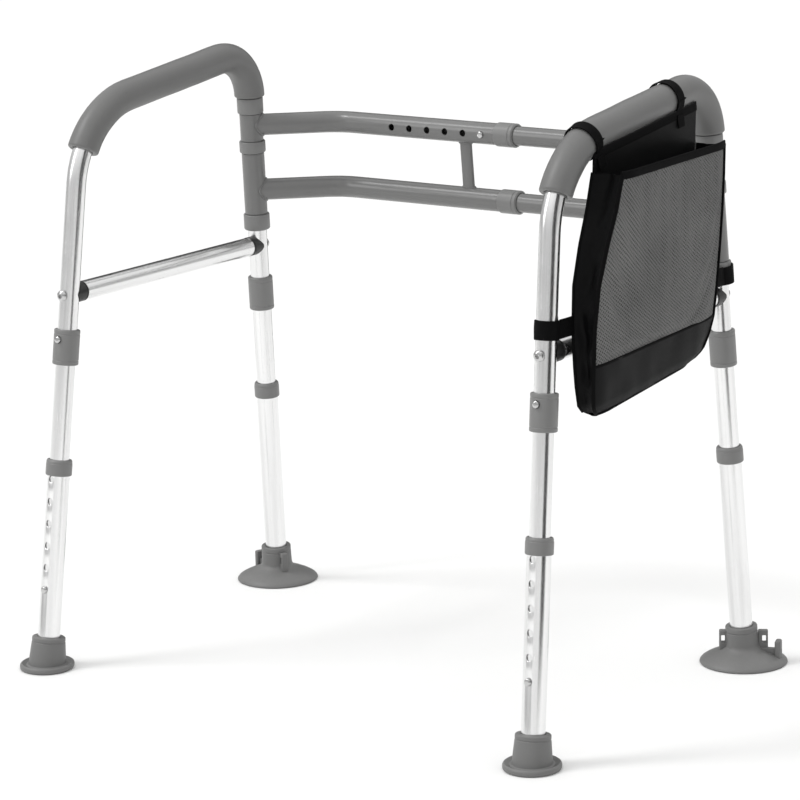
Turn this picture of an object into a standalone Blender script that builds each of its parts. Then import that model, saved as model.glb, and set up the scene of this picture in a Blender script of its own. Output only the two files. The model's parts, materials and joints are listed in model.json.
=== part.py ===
"""Toilet safety frame: two arm frames with foam grips and telescopic legs, joined behind by a crossbar
of two rails that telescopes for width and turns on the rear legs, with a side bag on the right arm.

Metres, +Z up, +X to the user's right when facing the front, +Y to the back. The frame stands on z = 0.
"""

import math

import bmesh
import bpy
from mathutils import Matrix, Vector

# ---- overall stance
FOOT_SPACING_X = 0.6635     # between the two side planes, at the floor
FOOT_SPACING_Y = 0.4292     # between front and rear leg axes, at the floor
LEAN_DEG = 1.555            # each side plane leans inward, going up
FRONT_RAKE_DEG = 7.44       # front legs lean back
REAR_RAKE_DEG = 4.09        # rear legs lean forward
ARM_FRONT_HEIGHT = 0.6263   # where the front leg's axis meets the arm's axis
ARM_RISE_DEG = 6.95         # the arm climbs towards the back
FRONT_BEND_RADIUS = 0.105
REAR_BEND_RADIUS = 0.052

# ---- tubes
GAP = 0.0003                # between pieces that touch
SLIDE_GAP = 0.0004          # between telescoping tubes
WALL = 0.0012
ARM_TUBE_DIAMETER = 0.0222
LOWER_TUBE_DIAMETER = ARM_TUBE_DIAMETER + 2 * SLIDE_GAP + 2 * WALL  # slides over the arm tube's size
SPIGOT_GAP = 0.0003
SPIGOT_LENGTH = 0.036
CROSS_TUBE_DIAMETER = 0.0222
CROSS_RAIL_DROP = 0.01967   # the side rail's axis below the rear post's bottom ring

# ---- grips
FOAM_THICKNESS = 0.0069
FOAM_TAPER = 0.00125        # less foam at the grip's ends
GRIP_DIAMETER = ARM_TUBE_DIAMETER + 2 * FOAM_THICKNESS
GRIP_END_DIAMETER = GRIP_DIAMETER - 2 * FOAM_TAPER
GRIP_END_LENGTH = 0.010
GRIP_FRONT_HEIGHT = 0.5853  # lower end of the foam on the front leg
GRIP_TAIL = 0.003           # straight foam below the rear bend

# ---- leg collars, tubes and adjustment
LONG_COLLAR_HEIGHT = 0.3656
LONG_COLLAR_LENGTH = 0.040
LONG_COLLAR_WALL = 0.00335
LONG_COLLAR_DIAMETER = ARM_TUBE_DIAMETER + 2 * GAP + 2 * LONG_COLLAR_WALL
LONG_COLLAR_ROUND = 0.0008
CATCH_RISE = 0.0088         # collar button above the long collar's middle
SHORT_COLLAR_HEIGHT = {"front": 0.2295, "rear": 0.244}
SHORT_COLLAR_LENGTH = 0.018
SHORT_COLLAR_WALL = 0.0020
SHORT_COLLAR_DIAMETER = LOWER_TUBE_DIAMETER + 2 * GAP + 2 * SHORT_COLLAR_WALL
COLLAR_LIP = 0.006          # part of the short collar that closes over the tube's end
HOLE_PITCH = 0.0254
HOLE_COUNT = 6
HOLE_DIAMETER = 0.0082
TOP_HOLE_SPACE = 0.0001     # from the short collar's lower edge to the highest hole's edge
TOP_HOLE_DROP = SHORT_COLLAR_LENGTH / 2 + HOLE_DIAMETER / 2 + TOP_HOLE_SPACE
TUBE_FOOT_HEIGHT = {"front": 0.0095, "rear": 0.0240}
MIDDLE_TUBE_TAIL = 0.020    # below the snap button

# ---- snap buttons
BUTTON_DIAMETER = 0.0076
BUTTON_PROUD = 0.0027
CLIP_THICKNESS = 0.0006
CLIP_WIDTH = 0.0050
CLIP_LENGTH = 0.030
CLIP_BACKSET = 0.0014       # from the tube's inner wall to the leaf

# ---- bolts and saddles
BOLT_DIAMETER = 0.0060
BOLT_HEAD_DIAMETER = 0.0125
BOLT_HEAD_HEIGHT = 0.0040
SOCKET_DIAMETER = 0.0056
SOCKET_DEPTH = 0.0032
SADDLE_LENGTH = 0.0095
SADDLE_LEDGE = 0.0003       # the saddle stands out past the side rail
SADDLE_DIAMETER = CROSS_TUBE_DIAMETER + 2 * SADDLE_LEDGE
SADDLE_PLUG_LENGTH = 0.012
BOLT_REACH = 0.020          # bolt shank past the leg's surface, into the plug

# ---- rear posts and crossbar
RING_WALL = 0.0038
RING_DIAMETER = ARM_TUBE_DIAMETER + 4 * GAP + 2 * RING_WALL
OUTER_RAIL_DIAMETER = 0.0254
TOP_RING_LENGTH = 0.0190
MIDDLE_RING_LENGTH = 0.0140
BOTTOM_RING_LENGTH = 0.0190
SLEEVE_ABOVE_RAIL = 0.0018  # the upper sleeve stands past its rail, above and below
SLEEVE_BELOW_RAIL = 0.0058
TOP_SLEEVE_LENGTH = SLEEVE_ABOVE_RAIL + OUTER_RAIL_DIAMETER + SLEEVE_BELOW_RAIL
BOTTOM_SLEEVE_LENGTH = 0.0745
SLEEVE_WALL = 0.0019
SLEEVE_DIAMETER = ARM_TUBE_DIAMETER + 2 * SLIDE_GAP + 2 * SLEEVE_WALL
UPPER_RAIL_DROP = SLEEVE_ABOVE_RAIL + OUTER_RAIL_DIAMETER / 2  # from its sleeve's top to the rail's axis
LOWER_RAIL_DROP = 0.0460
RAIL_BOW = 0.071            # how far the rails stand behind the posts
RAIL_BEND_OUT = 0.078       # sideways distance over which they get there
RAIL_BEND_RADIUS = 0.055
RAIL_END_X = 0.0038         # inner end of the outer rails
RAIL_COLLAR_WALL = 0.0010
RAIL_COLLAR_DIAMETER = OUTER_RAIL_DIAMETER + 2 * GAP + 2 * RAIL_COLLAR_WALL
RAIL_COLLAR_LENGTH = 0.026
RAIL_OVERLAP = 0.0440       # inner rail inside the outer rail, at the widest setting
RAIL_BUTTON_INSET = 0.0301  # from the outer rail's end to the first hole
STRUT_X = -0.056
STRUT_WIDTH = 0.016
STRUT_THICKNESS = 0.008

# ---- feet
TIP_BASE_DIAMETER = 0.062
HUB_WALL = 0.0050           # rubber around the lower tube, on both kinds of foot
TIP_TOP_DIAMETER = LOWER_TUBE_DIAMETER + 2 * GAP + 2 * HUB_WALL
TIP_HEIGHT = 0.036
CUP_DIAMETER = 0.099
CUP_HUB_DIAMETER = LOWER_TUBE_DIAMETER + 2 * GAP + 2 * HUB_WALL
CUP_HEIGHT = 0.043

# ---- side bag and straps
BAG_SIDE = 1
BAG_CLEARANCE = 0.0021      # between the side rail and the back panel
BAG_BACK = CROSS_TUBE_DIAMETER / 2 + BAG_CLEARANCE  # outward from the side plane
BAG_BELOW_GRIP = 0.0020     # between the foam's underside and the back panel's top edge
BAG_BELOW_ARM = GRIP_DIAMETER / 2 + BAG_BELOW_GRIP
BAG_WALL = 0.0030
BAG_CORNER = 0.008
BAG_SECTIONS = (            # drop from the arm, climb, clear of each leg's axis, outer face
    (0.2763, 0.0180, 0.0611, 0.1203, 0.0300),
    (0.2623, 0.0200, 0.0423, 0.0913, 0.0360),
    (0.1813, 0.0080, 0.0267, 0.0675, 0.0440),
    (0.0263, 0.0040, 0.0545, 0.0494, 0.0540),
)
STRAP_WIDTH = 0.020
STRAP_THICKNESS = 0.0016
STRAP_CLEARANCE = 0.0026    # between the side rail's saddle and the leg strap
LOOP_WIDTH = 0.013
LOOP_SLACK = 0.0010         # between the foam and the loops, for the bend
LOOP_BACK = 0.024           # front loop, before the end of the front bend
LOOP_REAR_SPACE = 0.0271    # rear loop, before the start of the rear bend

# ---- mesh fineness
SIDES = 12
FOOT_SIDES = 20
BUTTON_SIDES = 10
HOLE_SIDES = 8
BEND_STEP_DEG = 13.0

SIDE_NAMES = {-1: "left", 1: "right"}
END_NAMES = ("front", "rear")
DEPTH_SHIFT = (TIP_BASE_DIAMETER - CUP_DIAMETER) / 4  # centres the footprint on the origin

X = Vector((1, 0, 0))
Y = Vector((0, 1, 0))
Z = Vector((0, 0, 1))

FINISHES = {
    "aluminium": ((0.86, 0.86, 0.86, 1), 0.32, 1.0),
    "grey_paint": ((0.22, 0.22, 0.22, 1), 0.38, 0.1),
    "grey_plastic": ((0.23, 0.23, 0.23, 1), 0.5, 0.0),
    "grey_rubber": ((0.20, 0.20, 0.20, 1), 0.65, 0.0),
    "grip_foam": ((0.17, 0.17, 0.17, 1), 0.75, 0.0),
    "black_plastic": ((0.02, 0.02, 0.02, 1), 0.5, 0.0),
    "steel": ((0.7, 0.7, 0.7, 1), 0.2, 1.0),
    "black_fabric": ((0.012, 0.012, 0.012, 1), 0.85, 0.0),
}


# ---------------------------------------------------------------- scene and materials

def clear_scene():
    for thing in list(bpy.data.objects):
        bpy.data.objects.remove(thing, do_unlink=True)


def finish(name):
    """The Principled material of one finish, made on first use."""
    found = bpy.data.materials.get(name)
    if found:
        return found
    colour, roughness, metallic = FINISHES[name]
    made = bpy.data.materials.new(name)
    made.use_nodes = True
    shader = made.node_tree.nodes["Principled BSDF"]
    shader.inputs["Base Color"].default_value = colour
    shader.inputs["Roughness"].default_value = roughness
    shader.inputs["Metallic"].default_value = metallic
    made.diffuse_color = colour
    return made


def empty(name, place, parent=None):
    """An unseen axis that pieces hang from."""
    made = bpy.data.objects.new(name, None)
    bpy.context.collection.objects.link(made)
    made.parent = parent
    made.matrix_world = place
    bpy.context.view_layer.update()
    return made


# ---------------------------------------------------------------- rings and lofts

def ring(centre, across, up, radius, sides=SIDES):
    """A circle of points around a centre, in the plane of two unit vectors."""
    turns = [2 * math.pi * n / sides for n in range(sides)]
    return [centre + radius * (math.cos(a) * across + math.sin(a) * up) for a in turns]


def lathe_rings(profile, sides=SIDES):
    """Rings about local Z for (radius, height) pairs."""
    return [ring(Z * height, X, Y, radius, sides) for radius, height in profile]


def path_tangents(path):
    tangents = []
    for n in range(len(path)):
        before = path[max(n - 1, 0)]
        after = path[min(n + 1, len(path) - 1)]
        step_in = (path[n] - before).normalized() if n else Vector()
        step_out = (after - path[n]).normalized() if n < len(path) - 1 else Vector()
        tangents.append((step_in + step_out).normalized())
    return tangents


def sweep_rings(path, radius, flat_normal, sides=SIDES):
    """Rings along a path that lies in the plane of flat_normal. radius is one value or one per point."""
    radii = radius if isinstance(radius, list) else [radius] * len(path)
    rings = []
    for point, along, size in zip(path, path_tangents(path), radii):
        rings.append(ring(point, flat_normal, along.cross(flat_normal).normalized(), size, sides))
    return rings


def loft_mesh(name, rings, hollow=False):
    """A closed mesh through rings of equal count. A hollow one joins its last ring to its first."""
    shape = bmesh.new()
    loops = [[shape.verts.new(p) for p in points] for points in rings]
    pairs = list(zip(loops, loops[1:] + ([loops[0]] if hollow else [])))
    for low, high in pairs:
        count = len(low)
        for n in range(count):
            shape.faces.new((low[n], low[(n + 1) % count], high[(n + 1) % count], high[n]))
    if not hollow:
        shape.faces.new(loops[0])
        shape.faces.new(loops[-1])
    bmesh.ops.recalc_face_normals(shape, faces=shape.faces)
    mesh = bpy.data.meshes.new(name)
    shape.to_mesh(mesh)
    shape.free()
    mesh.shade_smooth()
    mesh.set_sharp_from_angle(angle=math.radians(40))
    return mesh


def prism_mesh(name, outline, along):
    """A closed mesh that pushes a flat outline along a vector."""
    return loft_mesh(name, [outline, [p + along for p in outline]])


def piece(name, mesh, finish_name, place=None, parent=None):
    """One sub-part: its mesh, finish, place in the world and parent."""
    made = bpy.data.objects.new(name, mesh)
    bpy.context.collection.objects.link(made)
    mesh.materials.append(finish(finish_name))
    made.parent = parent
    made.matrix_world = place or Matrix.Identity(4)
    bpy.context.view_layer.update()
    return made


def boolean(target, mesh, operation, place=None):
    """Cuts or joins a mesh into a piece with an exact Boolean. The tool stays out of the model."""
    tool = bpy.data.objects.new(f"cut_{target.name}_{len(target.modifiers)}", mesh)
    bpy.context.collection.objects.link(tool)
    tool.matrix_world = place or Matrix.Identity(4)
    tool.hide_render = True
    tool.display_type = "WIRE"
    step = target.modifiers.new(operation.lower(), "BOOLEAN")
    step.operation = operation
    step.solver = "EXACT"
    step.object = tool


def tube_mesh(name, path, diameter, wall, flat_normal):
    """A tube with open ends along a flat path."""
    outer = sweep_rings(path, diameter / 2, flat_normal)
    inner = sweep_rings(path, diameter / 2 - wall, flat_normal)
    return loft_mesh(name, outer + inner[::-1], hollow=True)


def sleeve_mesh(name, diameter, bore, low, high, round_over=0.0):
    """A straight sleeve about local Z, with its outer edges rounded over."""
    r = diameter / 2
    profile = [(r - round_over, low), (r, low + round_over), (r, high - round_over), (r - round_over, high)]
    if not round_over:
        profile = [(r, low), (r, high)]
    return loft_mesh(name, lathe_rings(profile + [(bore / 2, high), (bore / 2, low)]), hollow=True)


def rod_mesh(name, diameter, start, end, sides=10):
    """A plain round rod between two points."""
    along = (end - start).normalized()
    across = along.orthogonal().normalized()
    up = along.cross(across)
    rings = [ring(point, across, up, diameter / 2, sides) for point in (start, end)]
    return loft_mesh(name, rings)


# ---------------------------------------------------------------- lines of the frame

def filleted_path(corners, radii, step_deg=BEND_STEP_DEG):
    """A path through corners, each inner corner rounded by an arc of its radius."""
    path = [corners[0]]
    for n in range(1, len(corners) - 1):
        inward = (corners[n] - corners[n - 1]).normalized()
        outward = (corners[n + 1] - corners[n]).normalized()
        turn = inward.angle(outward)
        radius = radii[n - 1]
        reach = radius * math.tan(turn / 2)
        start = corners[n] - inward * reach
        to_centre = (outward - inward * outward.dot(inward)).normalized()
        centre = start + to_centre * radius
        steps = max(2, round(math.degrees(turn) / step_deg))
        for k in range(steps + 1):
            a = turn * k / steps
            path.append(centre + radius * (math.sin(a) * inward - math.cos(a) * to_centre))
    path.append(corners[-1])
    return path


def trimmed_path(path, start_length, end_length):
    """The stretch of a path between two lengths from its start."""
    kept = []
    run = 0.0
    for a, b in zip(path, path[1:]):
        step = (b - a).length
        if run < start_length <= run + step:
            kept.append(a.lerp(b, (start_length - run) / step))
        if start_length < run + step < end_length:
            kept.append(b.copy())
        if run < end_length <= run + step:
            kept.append(a.lerp(b, (end_length - run) / step))
        run += step
    clean = [kept[0]]
    for point in kept[1:]:
        if (point - clean[-1]).length > 0.0005:
            clean.append(point)
    return clean


def path_length(path):
    return sum((b - a).length for a, b in zip(path, path[1:]))


RAKE = {"front": math.radians(FRONT_RAKE_DEG), "rear": math.radians(-REAR_RAKE_DEG)}
FACING = {"front": -1, "rear": 1}  # local Y sense of the holes and buttons


def foot_y(end):
    return FACING[end] * FOOT_SPACING_Y / 2 + DEPTH_SHIFT


def leg_point(end, height):
    """A point on a leg's axis in the side plane, at a height measured up the plane."""
    return Vector((0, foot_y(end) + height * math.tan(RAKE[end]), height))


def leg_run(end, height):
    """Distance along a leg's axis from the floor to a height."""
    return height / math.cos(RAKE[end])


def side_place(side):
    """The side plane's frame: origin on the floor, local Z up the leaning plane."""
    tilt = Matrix.Rotation(-side * math.radians(LEAN_DEG), 4, "Y")
    return Matrix.Translation((side * FOOT_SPACING_X / 2, 0, 0)) @ tilt


def leg_place(side, end):
    """A leg's frame: origin where its axis meets the floor, local Z up the leg."""
    return side_place(side) @ Matrix.Translation((0, foot_y(end), 0)) @ Matrix.Rotation(-RAKE[end], 4, "X")


def arm_corners():
    front = leg_point("front", ARM_FRONT_HEIGHT)
    rise = math.tan(math.radians(ARM_RISE_DEG))
    rear_slope = math.tan(RAKE["rear"])
    height = (ARM_FRONT_HEIGHT + rise * (foot_y("rear") - front.y)) / (1 - rise * rear_slope)
    return front, leg_point("rear", height)


def bend_reach(corner, before, after, radius):
    turn = (corner - before).angle(after - corner)
    return radius * math.tan(turn / 2)


ARM_FRONT_CORNER, ARM_REAR_CORNER = arm_corners()
ARM_PATH = filleted_path(
    [
        leg_point("front", LONG_COLLAR_HEIGHT + GAP / 2),
        ARM_FRONT_CORNER,
        ARM_REAR_CORNER,
        leg_point("rear", LONG_COLLAR_HEIGHT + GAP / 2),
    ],
    [FRONT_BEND_RADIUS, REAR_BEND_RADIUS],
)
REAR_BEND_DROP = bend_reach(ARM_REAR_CORNER, ARM_FRONT_CORNER, leg_point("rear", 0), REAR_BEND_RADIUS)
POST_TOP = leg_run("rear", ARM_REAR_CORNER.z) - REAR_BEND_DROP  # where the rear post becomes straight


def stack_on_post():
    """Bottom and top of each ring and sleeve on the rear post, downwards from the bend."""
    lengths = [
        ("ring_top", TOP_RING_LENGTH),
        ("sleeve_top", TOP_SLEEVE_LENGTH),
        ("ring_middle", MIDDLE_RING_LENGTH),
        ("sleeve_bottom", BOTTOM_SLEEVE_LENGTH),
        ("ring_bottom", BOTTOM_RING_LENGTH),
    ]
    spans = {}
    top = POST_TOP - GRIP_TAIL - 2 * GAP
    for name, length in lengths:
        spans[name] = (top - length, top)
        top -= length + GAP
    return spans


STACK = stack_on_post()
POST_BORE = ARM_TUBE_DIAMETER + 2 * SLIDE_GAP
CROSS_RAIL_HEIGHT = STACK["ring_bottom"][0] * math.cos(RAKE["rear"]) - CROSS_RAIL_DROP
RAIL_RUN = {
    "upper": STACK["sleeve_top"][1] - UPPER_RAIL_DROP,
    "lower": STACK["sleeve_bottom"][1] - LOWER_RAIL_DROP,
}
INNER_RAIL_DIAMETER = OUTER_RAIL_DIAMETER - 2 * WALL - 2 * SLIDE_GAP


# ---------------------------------------------------------------- arms, grips and side rails

def arm_tube(side, axis):
    mesh = tube_mesh(f"arm_tube_{side}", ARM_PATH, ARM_TUBE_DIAMETER, WALL, X)
    made = piece(f"arm_tube_{SIDE_NAMES[side]}", mesh, "aluminium", side_place(side), axis)
    for end in END_NAMES:
        cut_button_hole(made, side, end, leg_run(end, LONG_COLLAR_HEIGHT) + CATCH_RISE)
        middle = leg_point(end, CROSS_RAIL_HEIGHT)
        bore = rod_mesh("bore", BOLT_DIAMETER + 2 * GAP, middle - Y * 0.016, middle + Y * 0.016, HOLE_SIDES)
        boolean(made, bore, "DIFFERENCE", side_place(side))


def grip(side, axis):
    """A foam sleeve from low on the front leg, over the arm, to the top ring of the rear post."""
    start = leg_run("front", GRIP_FRONT_HEIGHT) - leg_run("front", LONG_COLLAR_HEIGHT)
    end = path_length(ARM_PATH) - (POST_TOP - leg_run("rear", LONG_COLLAR_HEIGHT)) + GRIP_TAIL
    path = trimmed_path(ARM_PATH, start, end)
    radii = []
    for n in range(len(path)):
        to_end = min(path_length(path[:n + 1]), path_length(path[n:]), GRIP_END_LENGTH)
        growth = (GRIP_DIAMETER - GRIP_END_DIAMETER) / 2 * to_end / GRIP_END_LENGTH
        radii.append(GRIP_END_DIAMETER / 2 + growth)
    outer = sweep_rings(path, radii, X)
    inner = sweep_rings(path, ARM_TUBE_DIAMETER / 2 + GAP, X)
    mesh = loft_mesh(f"grip_{side}", outer + inner[::-1], hollow=True)
    piece(f"grip_{SIDE_NAMES[side]}", mesh, "grip_foam", side_place(side), axis)


def cross_rail(side, axis):
    """The tube between the legs, with a saddle cap and a bolt at each end."""
    height = CROSS_RAIL_HEIGHT
    front, rear = leg_point("front", height), leg_point("rear", height)
    half_leg = ARM_TUBE_DIAMETER / 2
    start = front + Y * (half_leg + SADDLE_LENGTH + GAP)
    end = rear - Y * (half_leg + SADDLE_LENGTH + GAP)
    mesh = tube_mesh(f"cross_rail_{side}", [start, end], CROSS_TUBE_DIAMETER, WALL, X)
    piece(f"cross_rail_{SIDE_NAMES[side]}", mesh, "aluminium", side_place(side), axis)
    for end_name, leg, inward in (("front", front, Y), ("rear", rear, -Y)):
        saddle(side, end_name, leg, inward, axis)
        bolt(side, end_name, leg, inward, axis)


def saddle(side, end, leg, inward, axis):
    """A cap hollowed to sit on the leg, with a plug inside the rail that holds the bolt."""
    half_leg = ARM_TUBE_DIAMETER / 2
    collar_end = leg + inward * (half_leg + SADDLE_LENGTH)
    plug_end = collar_end + inward * SADDLE_PLUG_LENGTH
    plug_radius = CROSS_TUBE_DIAMETER / 2 - WALL - GAP
    sections = [(leg + inward * 0.003, SADDLE_DIAMETER / 2), (collar_end, SADDLE_DIAMETER / 2)]
    sections += [(collar_end, plug_radius), (plug_end, plug_radius)]
    rings = [ring(place, X, inward.cross(X), radius) for place, radius in sections]
    name = f"saddle_{end}_{SIDE_NAMES[side]}"
    made = piece(name, loft_mesh(name, rings), "black_plastic", side_place(side), axis)
    run = leg_run(end, CROSS_RAIL_HEIGHT)
    seat = rod_mesh("seat", ARM_TUBE_DIAMETER + 4 * GAP, Z * (run - 0.03), Z * (run + 0.03), 24)
    boolean(made, seat, "DIFFERENCE", leg_place(side, end))
    bore = rod_mesh("bore", BOLT_DIAMETER + 2 * GAP, leg, leg + inward * (half_leg + BOLT_REACH + GAP))
    boolean(made, bore, "DIFFERENCE", side_place(side))


def bolt(side, end, leg, inward, axis):
    """A button-head bolt from outside, through the leg and into the saddle's plug."""
    half_leg = ARM_TUBE_DIAMETER / 2
    head = BOLT_HEAD_DIAMETER / 2
    stand_off = half_leg / math.cos(RAKE[end]) + head * abs(math.tan(RAKE[end])) + GAP
    seat = leg - inward * stand_off
    top = BOLT_HEAD_HEIGHT
    socket = SOCKET_DIAMETER / 2
    sections = [
        (stand_off + half_leg + BOLT_REACH - 0.001, BOLT_DIAMETER / 2 - 0.0008),
        (stand_off + half_leg + BOLT_REACH - 0.002, BOLT_DIAMETER / 2),
        (0.0, BOLT_DIAMETER / 2),
        (0.0, head),
        (-top * 0.45, head * 0.95),
        (-top * 0.85, head * 0.72),
        (-top, socket * 1.15),
        (-top, socket),
        (-top + SOCKET_DEPTH, socket),
    ]
    across = inward.cross(X)
    rings = [ring(seat + inward * depth, X, across, radius, BUTTON_SIDES) for depth, radius in sections]
    name = f"bolt_{end}_{SIDE_NAMES[side]}"
    piece(name, loft_mesh(name, rings), "steel", side_place(side), axis)


# ---------------------------------------------------------------- legs

def cut_button_hole(target, side, end, run):
    """A hole through one wall of a leg, on the side that its button faces."""
    outward = Y * FACING[end]
    hole = rod_mesh("hole", HOLE_DIAMETER, Z * run + outward * 0.002, Z * run + outward * 0.03, HOLE_SIDES)
    boolean(target, hole, "DIFFERENCE", leg_place(side, end))


def snap_button(name, place, run, outward, bore_radius, outer_radius, axis, along=Z):
    """A button on a spring clip bent from strip, which lies inside a tube of the bore's radius."""
    leaf = bore_radius - CLIP_BACKSET
    back = -(bore_radius - 0.0052)
    low = -CLIP_LENGTH * 0.8
    high = CLIP_LENGTH * 0.2
    thick = CLIP_THICKNESS
    fold, cut = 0.002, 0.001
    outline = [
        (leaf, high), (leaf, low + 0.004), (leaf - fold, low + cut), (back + fold, low + cut),
        (back, low + 0.004), (back, high - 0.006),
        (back + thick, high - 0.006), (back + thick, low + 0.004), (back + fold + thick, low + cut + thick),
        (leaf - fold - thick, low + cut + thick), (leaf - thick, low + 0.004), (leaf - thick, high),
    ]
    across = along.cross(outward)
    centre = along * run
    start = -across * CLIP_WIDTH / 2
    points = [centre + outward * reach + along * rise + start for reach, rise in outline]
    made = piece(name, prism_mesh(name, points, across * CLIP_WIDTH), "steel", place, axis)
    tip = outer_radius + BUTTON_PROUD
    radius = BUTTON_DIAMETER / 2
    dome = [(tip - 0.001, radius), (tip - 0.0003, radius * 0.86), (tip, radius * 0.5)]
    sections = [(leaf - thick / 2, radius)] + dome
    rings = [ring(centre + outward * reach, along, across, size, BUTTON_SIDES) for reach, size in sections]
    boolean(made, loft_mesh("stud", rings), "UNION", place)


def leg(side, end, arm_axis, leg_axis):
    """Everything on one leg below the arm: collars, telescoping tubes, buttons and foot."""
    place = leg_place(side, end)
    tag = f"{end}_{SIDE_NAMES[side]}"
    outward = Y * FACING[end]
    arm_radius = ARM_TUBE_DIAMETER / 2
    joint = leg_run(end, LONG_COLLAR_HEIGHT)
    collar_middle = leg_run(end, SHORT_COLLAR_HEIGHT[end])
    lower_top = collar_middle + SHORT_COLLAR_LENGTH / 2 - COLLAR_LIP - GAP
    lower_bottom = leg_run(end, TUBE_FOOT_HEIGHT[end])
    holes = [collar_middle - TOP_HOLE_DROP - HOLE_PITCH * n for n in range(HOLE_COUNT)]
    catch = joint + CATCH_RISE

    name = f"long_collar_{tag}"
    half = LONG_COLLAR_LENGTH / 2
    bore = ARM_TUBE_DIAMETER + 2 * GAP
    mesh = sleeve_mesh(name, LONG_COLLAR_DIAMETER, bore, joint - half, joint + half, LONG_COLLAR_ROUND)
    cut_button_hole(piece(name, mesh, "grey_plastic", place, arm_axis), side, end, catch)

    # the middle tube: a spigot inside the arm tube above, full size below
    name = f"middle_tube_{tag}"
    spigot = arm_radius - WALL - SPIGOT_GAP
    tail = holes[-1] - MIDDLE_TUBE_TAIL
    shoulder = joint - GAP
    outer = [(arm_radius, tail), (arm_radius, shoulder), (spigot, shoulder), (spigot, joint + SPIGOT_LENGTH)]
    inner = [(spigot - WALL, joint + SPIGOT_LENGTH), (spigot - WALL, tail)]
    mesh = loft_mesh(name, lathe_rings(outer + inner), hollow=True)
    middle = piece(name, mesh, "aluminium", place, arm_axis)
    cut_button_hole(middle, side, end, holes[-1])
    cut_button_hole(middle, side, end, catch)

    name = f"lower_tube_{tag}"
    r = LOWER_TUBE_DIAMETER / 2
    rings = lathe_rings([(r, lower_bottom), (r, lower_top), (r - WALL, lower_top), (r - WALL, lower_bottom)])
    lower = piece(name, loft_mesh(name, rings, hollow=True), "aluminium", place, leg_axis)
    for run in holes:
        cut_button_hole(lower, side, end, run)

    # the short collar closes over the lower tube's end and guides the middle tube
    name = f"short_collar_{tag}"
    r = SHORT_COLLAR_DIAMETER / 2
    low, high = collar_middle - SHORT_COLLAR_LENGTH / 2, collar_middle + SHORT_COLLAR_LENGTH / 2
    lip, bore = arm_radius + SLIDE_GAP, LOWER_TUBE_DIAMETER / 2 + GAP
    profile = [(r, low), (r, high - 0.001), (r - 0.001, high), (lip, high), (lip, high - COLLAR_LIP)]
    rings = lathe_rings(profile + [(bore, high - COLLAR_LIP), (bore, low)])
    piece(name, loft_mesh(name, rings, hollow=True), "grey_plastic", place, leg_axis)

    buttons = {"collar": (catch, LONG_COLLAR_DIAMETER / 2), "leg": (holes[-1], LOWER_TUBE_DIAMETER / 2)}
    for kind, (run, face) in buttons.items():
        snap_button(f"{kind}_button_{tag}", place, run, outward, spigot - WALL, face, arm_axis)
    foot(side, end, LOWER_TUBE_DIAMETER / 2 + GAP, leg_axis)


def foot(side, end, bore, axis):
    """A flared rubber tip in front, a suction cup behind. The base lies flat, the hub follows the leg."""
    up = leg_place(side, end).to_3x3() @ Z
    base = Matrix.Translation(leg_place(side, end).translation)
    floor_gap = (TUBE_FOOT_HEIGHT[end] - GAP)
    tip, top = TIP_BASE_DIAMETER / 2, TIP_TOP_DIAMETER / 2
    cup, hub = CUP_DIAMETER / 2, CUP_HUB_DIAMETER / 2
    profiles = {
        "front": [
            (tip - 0.001, 0.0, 0), (tip, 0.001, 0), (tip, 0.0045, 0), (tip - 0.002, 0.0065, 0),
            (top + 0.0040, 0.0085, 0.5), (top + 0.0027, 0.013, 1), (top, TIP_HEIGHT - 0.001, 1),
            (top - 0.001, TIP_HEIGHT, 1), (bore, TIP_HEIGHT, 1), (bore, floor_gap, 1),
        ],
        "rear": [
            (0.014, 0.012, 0), (cup * 0.72, 0.0075, 0), (cup - 0.0035, 0.0, 0), (cup - 0.0006, 0.0, 0),
            (cup, 0.0012, 0), (cup * 0.9, 0.0055, 0), (cup * 0.66, 0.0115, 0), (hub + 0.004, 0.0165, 0),
            (hub, 0.021, 0.6), (hub, CUP_HEIGHT - 0.001, 1), (hub - 0.001, CUP_HEIGHT, 1),
            (bore, CUP_HEIGHT, 1), (bore, floor_gap, 1),
        ],
    }
    rings = []
    for radius, height, follow in profiles[end]:
        normal = Z.lerp(up, follow).normalized()
        across = (X - normal * X.dot(normal)).normalized()
        rings.append(ring(up * (height / up.z), across, normal.cross(across), radius, FOOT_SIDES))
    name = f"{'rubber_tip' if end == 'front' else 'suction_cup'}_{end}_{SIDE_NAMES[side]}"
    made = piece(name, loft_mesh(name, rings), "grey_rubber", base, axis)
    if end == "rear":
        for mesh in release_tabs(side, cup):
            boolean(made, mesh, "UNION", base)


def release_tabs(side, cup):
    """An upright tab at the rim, to peel the cup off the floor, its rib, and two ears beside the hub."""
    tabs = []
    hub = CUP_HUB_DIAMETER / 2
    for degrees, reach, width, thick, low, high in (
        (20, cup - 0.0100, 0.0130, 0.0068, 0.0040, 0.0270),
        (20, (hub + cup) / 2 - 0.006, 0.0060, cup - hub, 0.0060, 0.0178),
        (30, hub + 0.0038, 0.0078, 0.0112, 0.0125, 0.0370),
        (212, hub + 0.0038, 0.0078, 0.0112, 0.0125, 0.0370),
    ):
        angle = math.radians(degrees)
        outward = Vector((side * math.cos(angle), math.sin(angle), 0))
        across = Z.cross(outward)
        corners = [(-1, -1), (1, -1), (1, 1), (-1, 1)]
        base = [outward * (reach + a * thick / 2) + across * (b * width / 2) + Z * low for a, b in corners]
        tabs.append(prism_mesh("tab", base, Z * (high - low)))
    return tabs


# ---------------------------------------------------------------- rear crossbar

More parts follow.
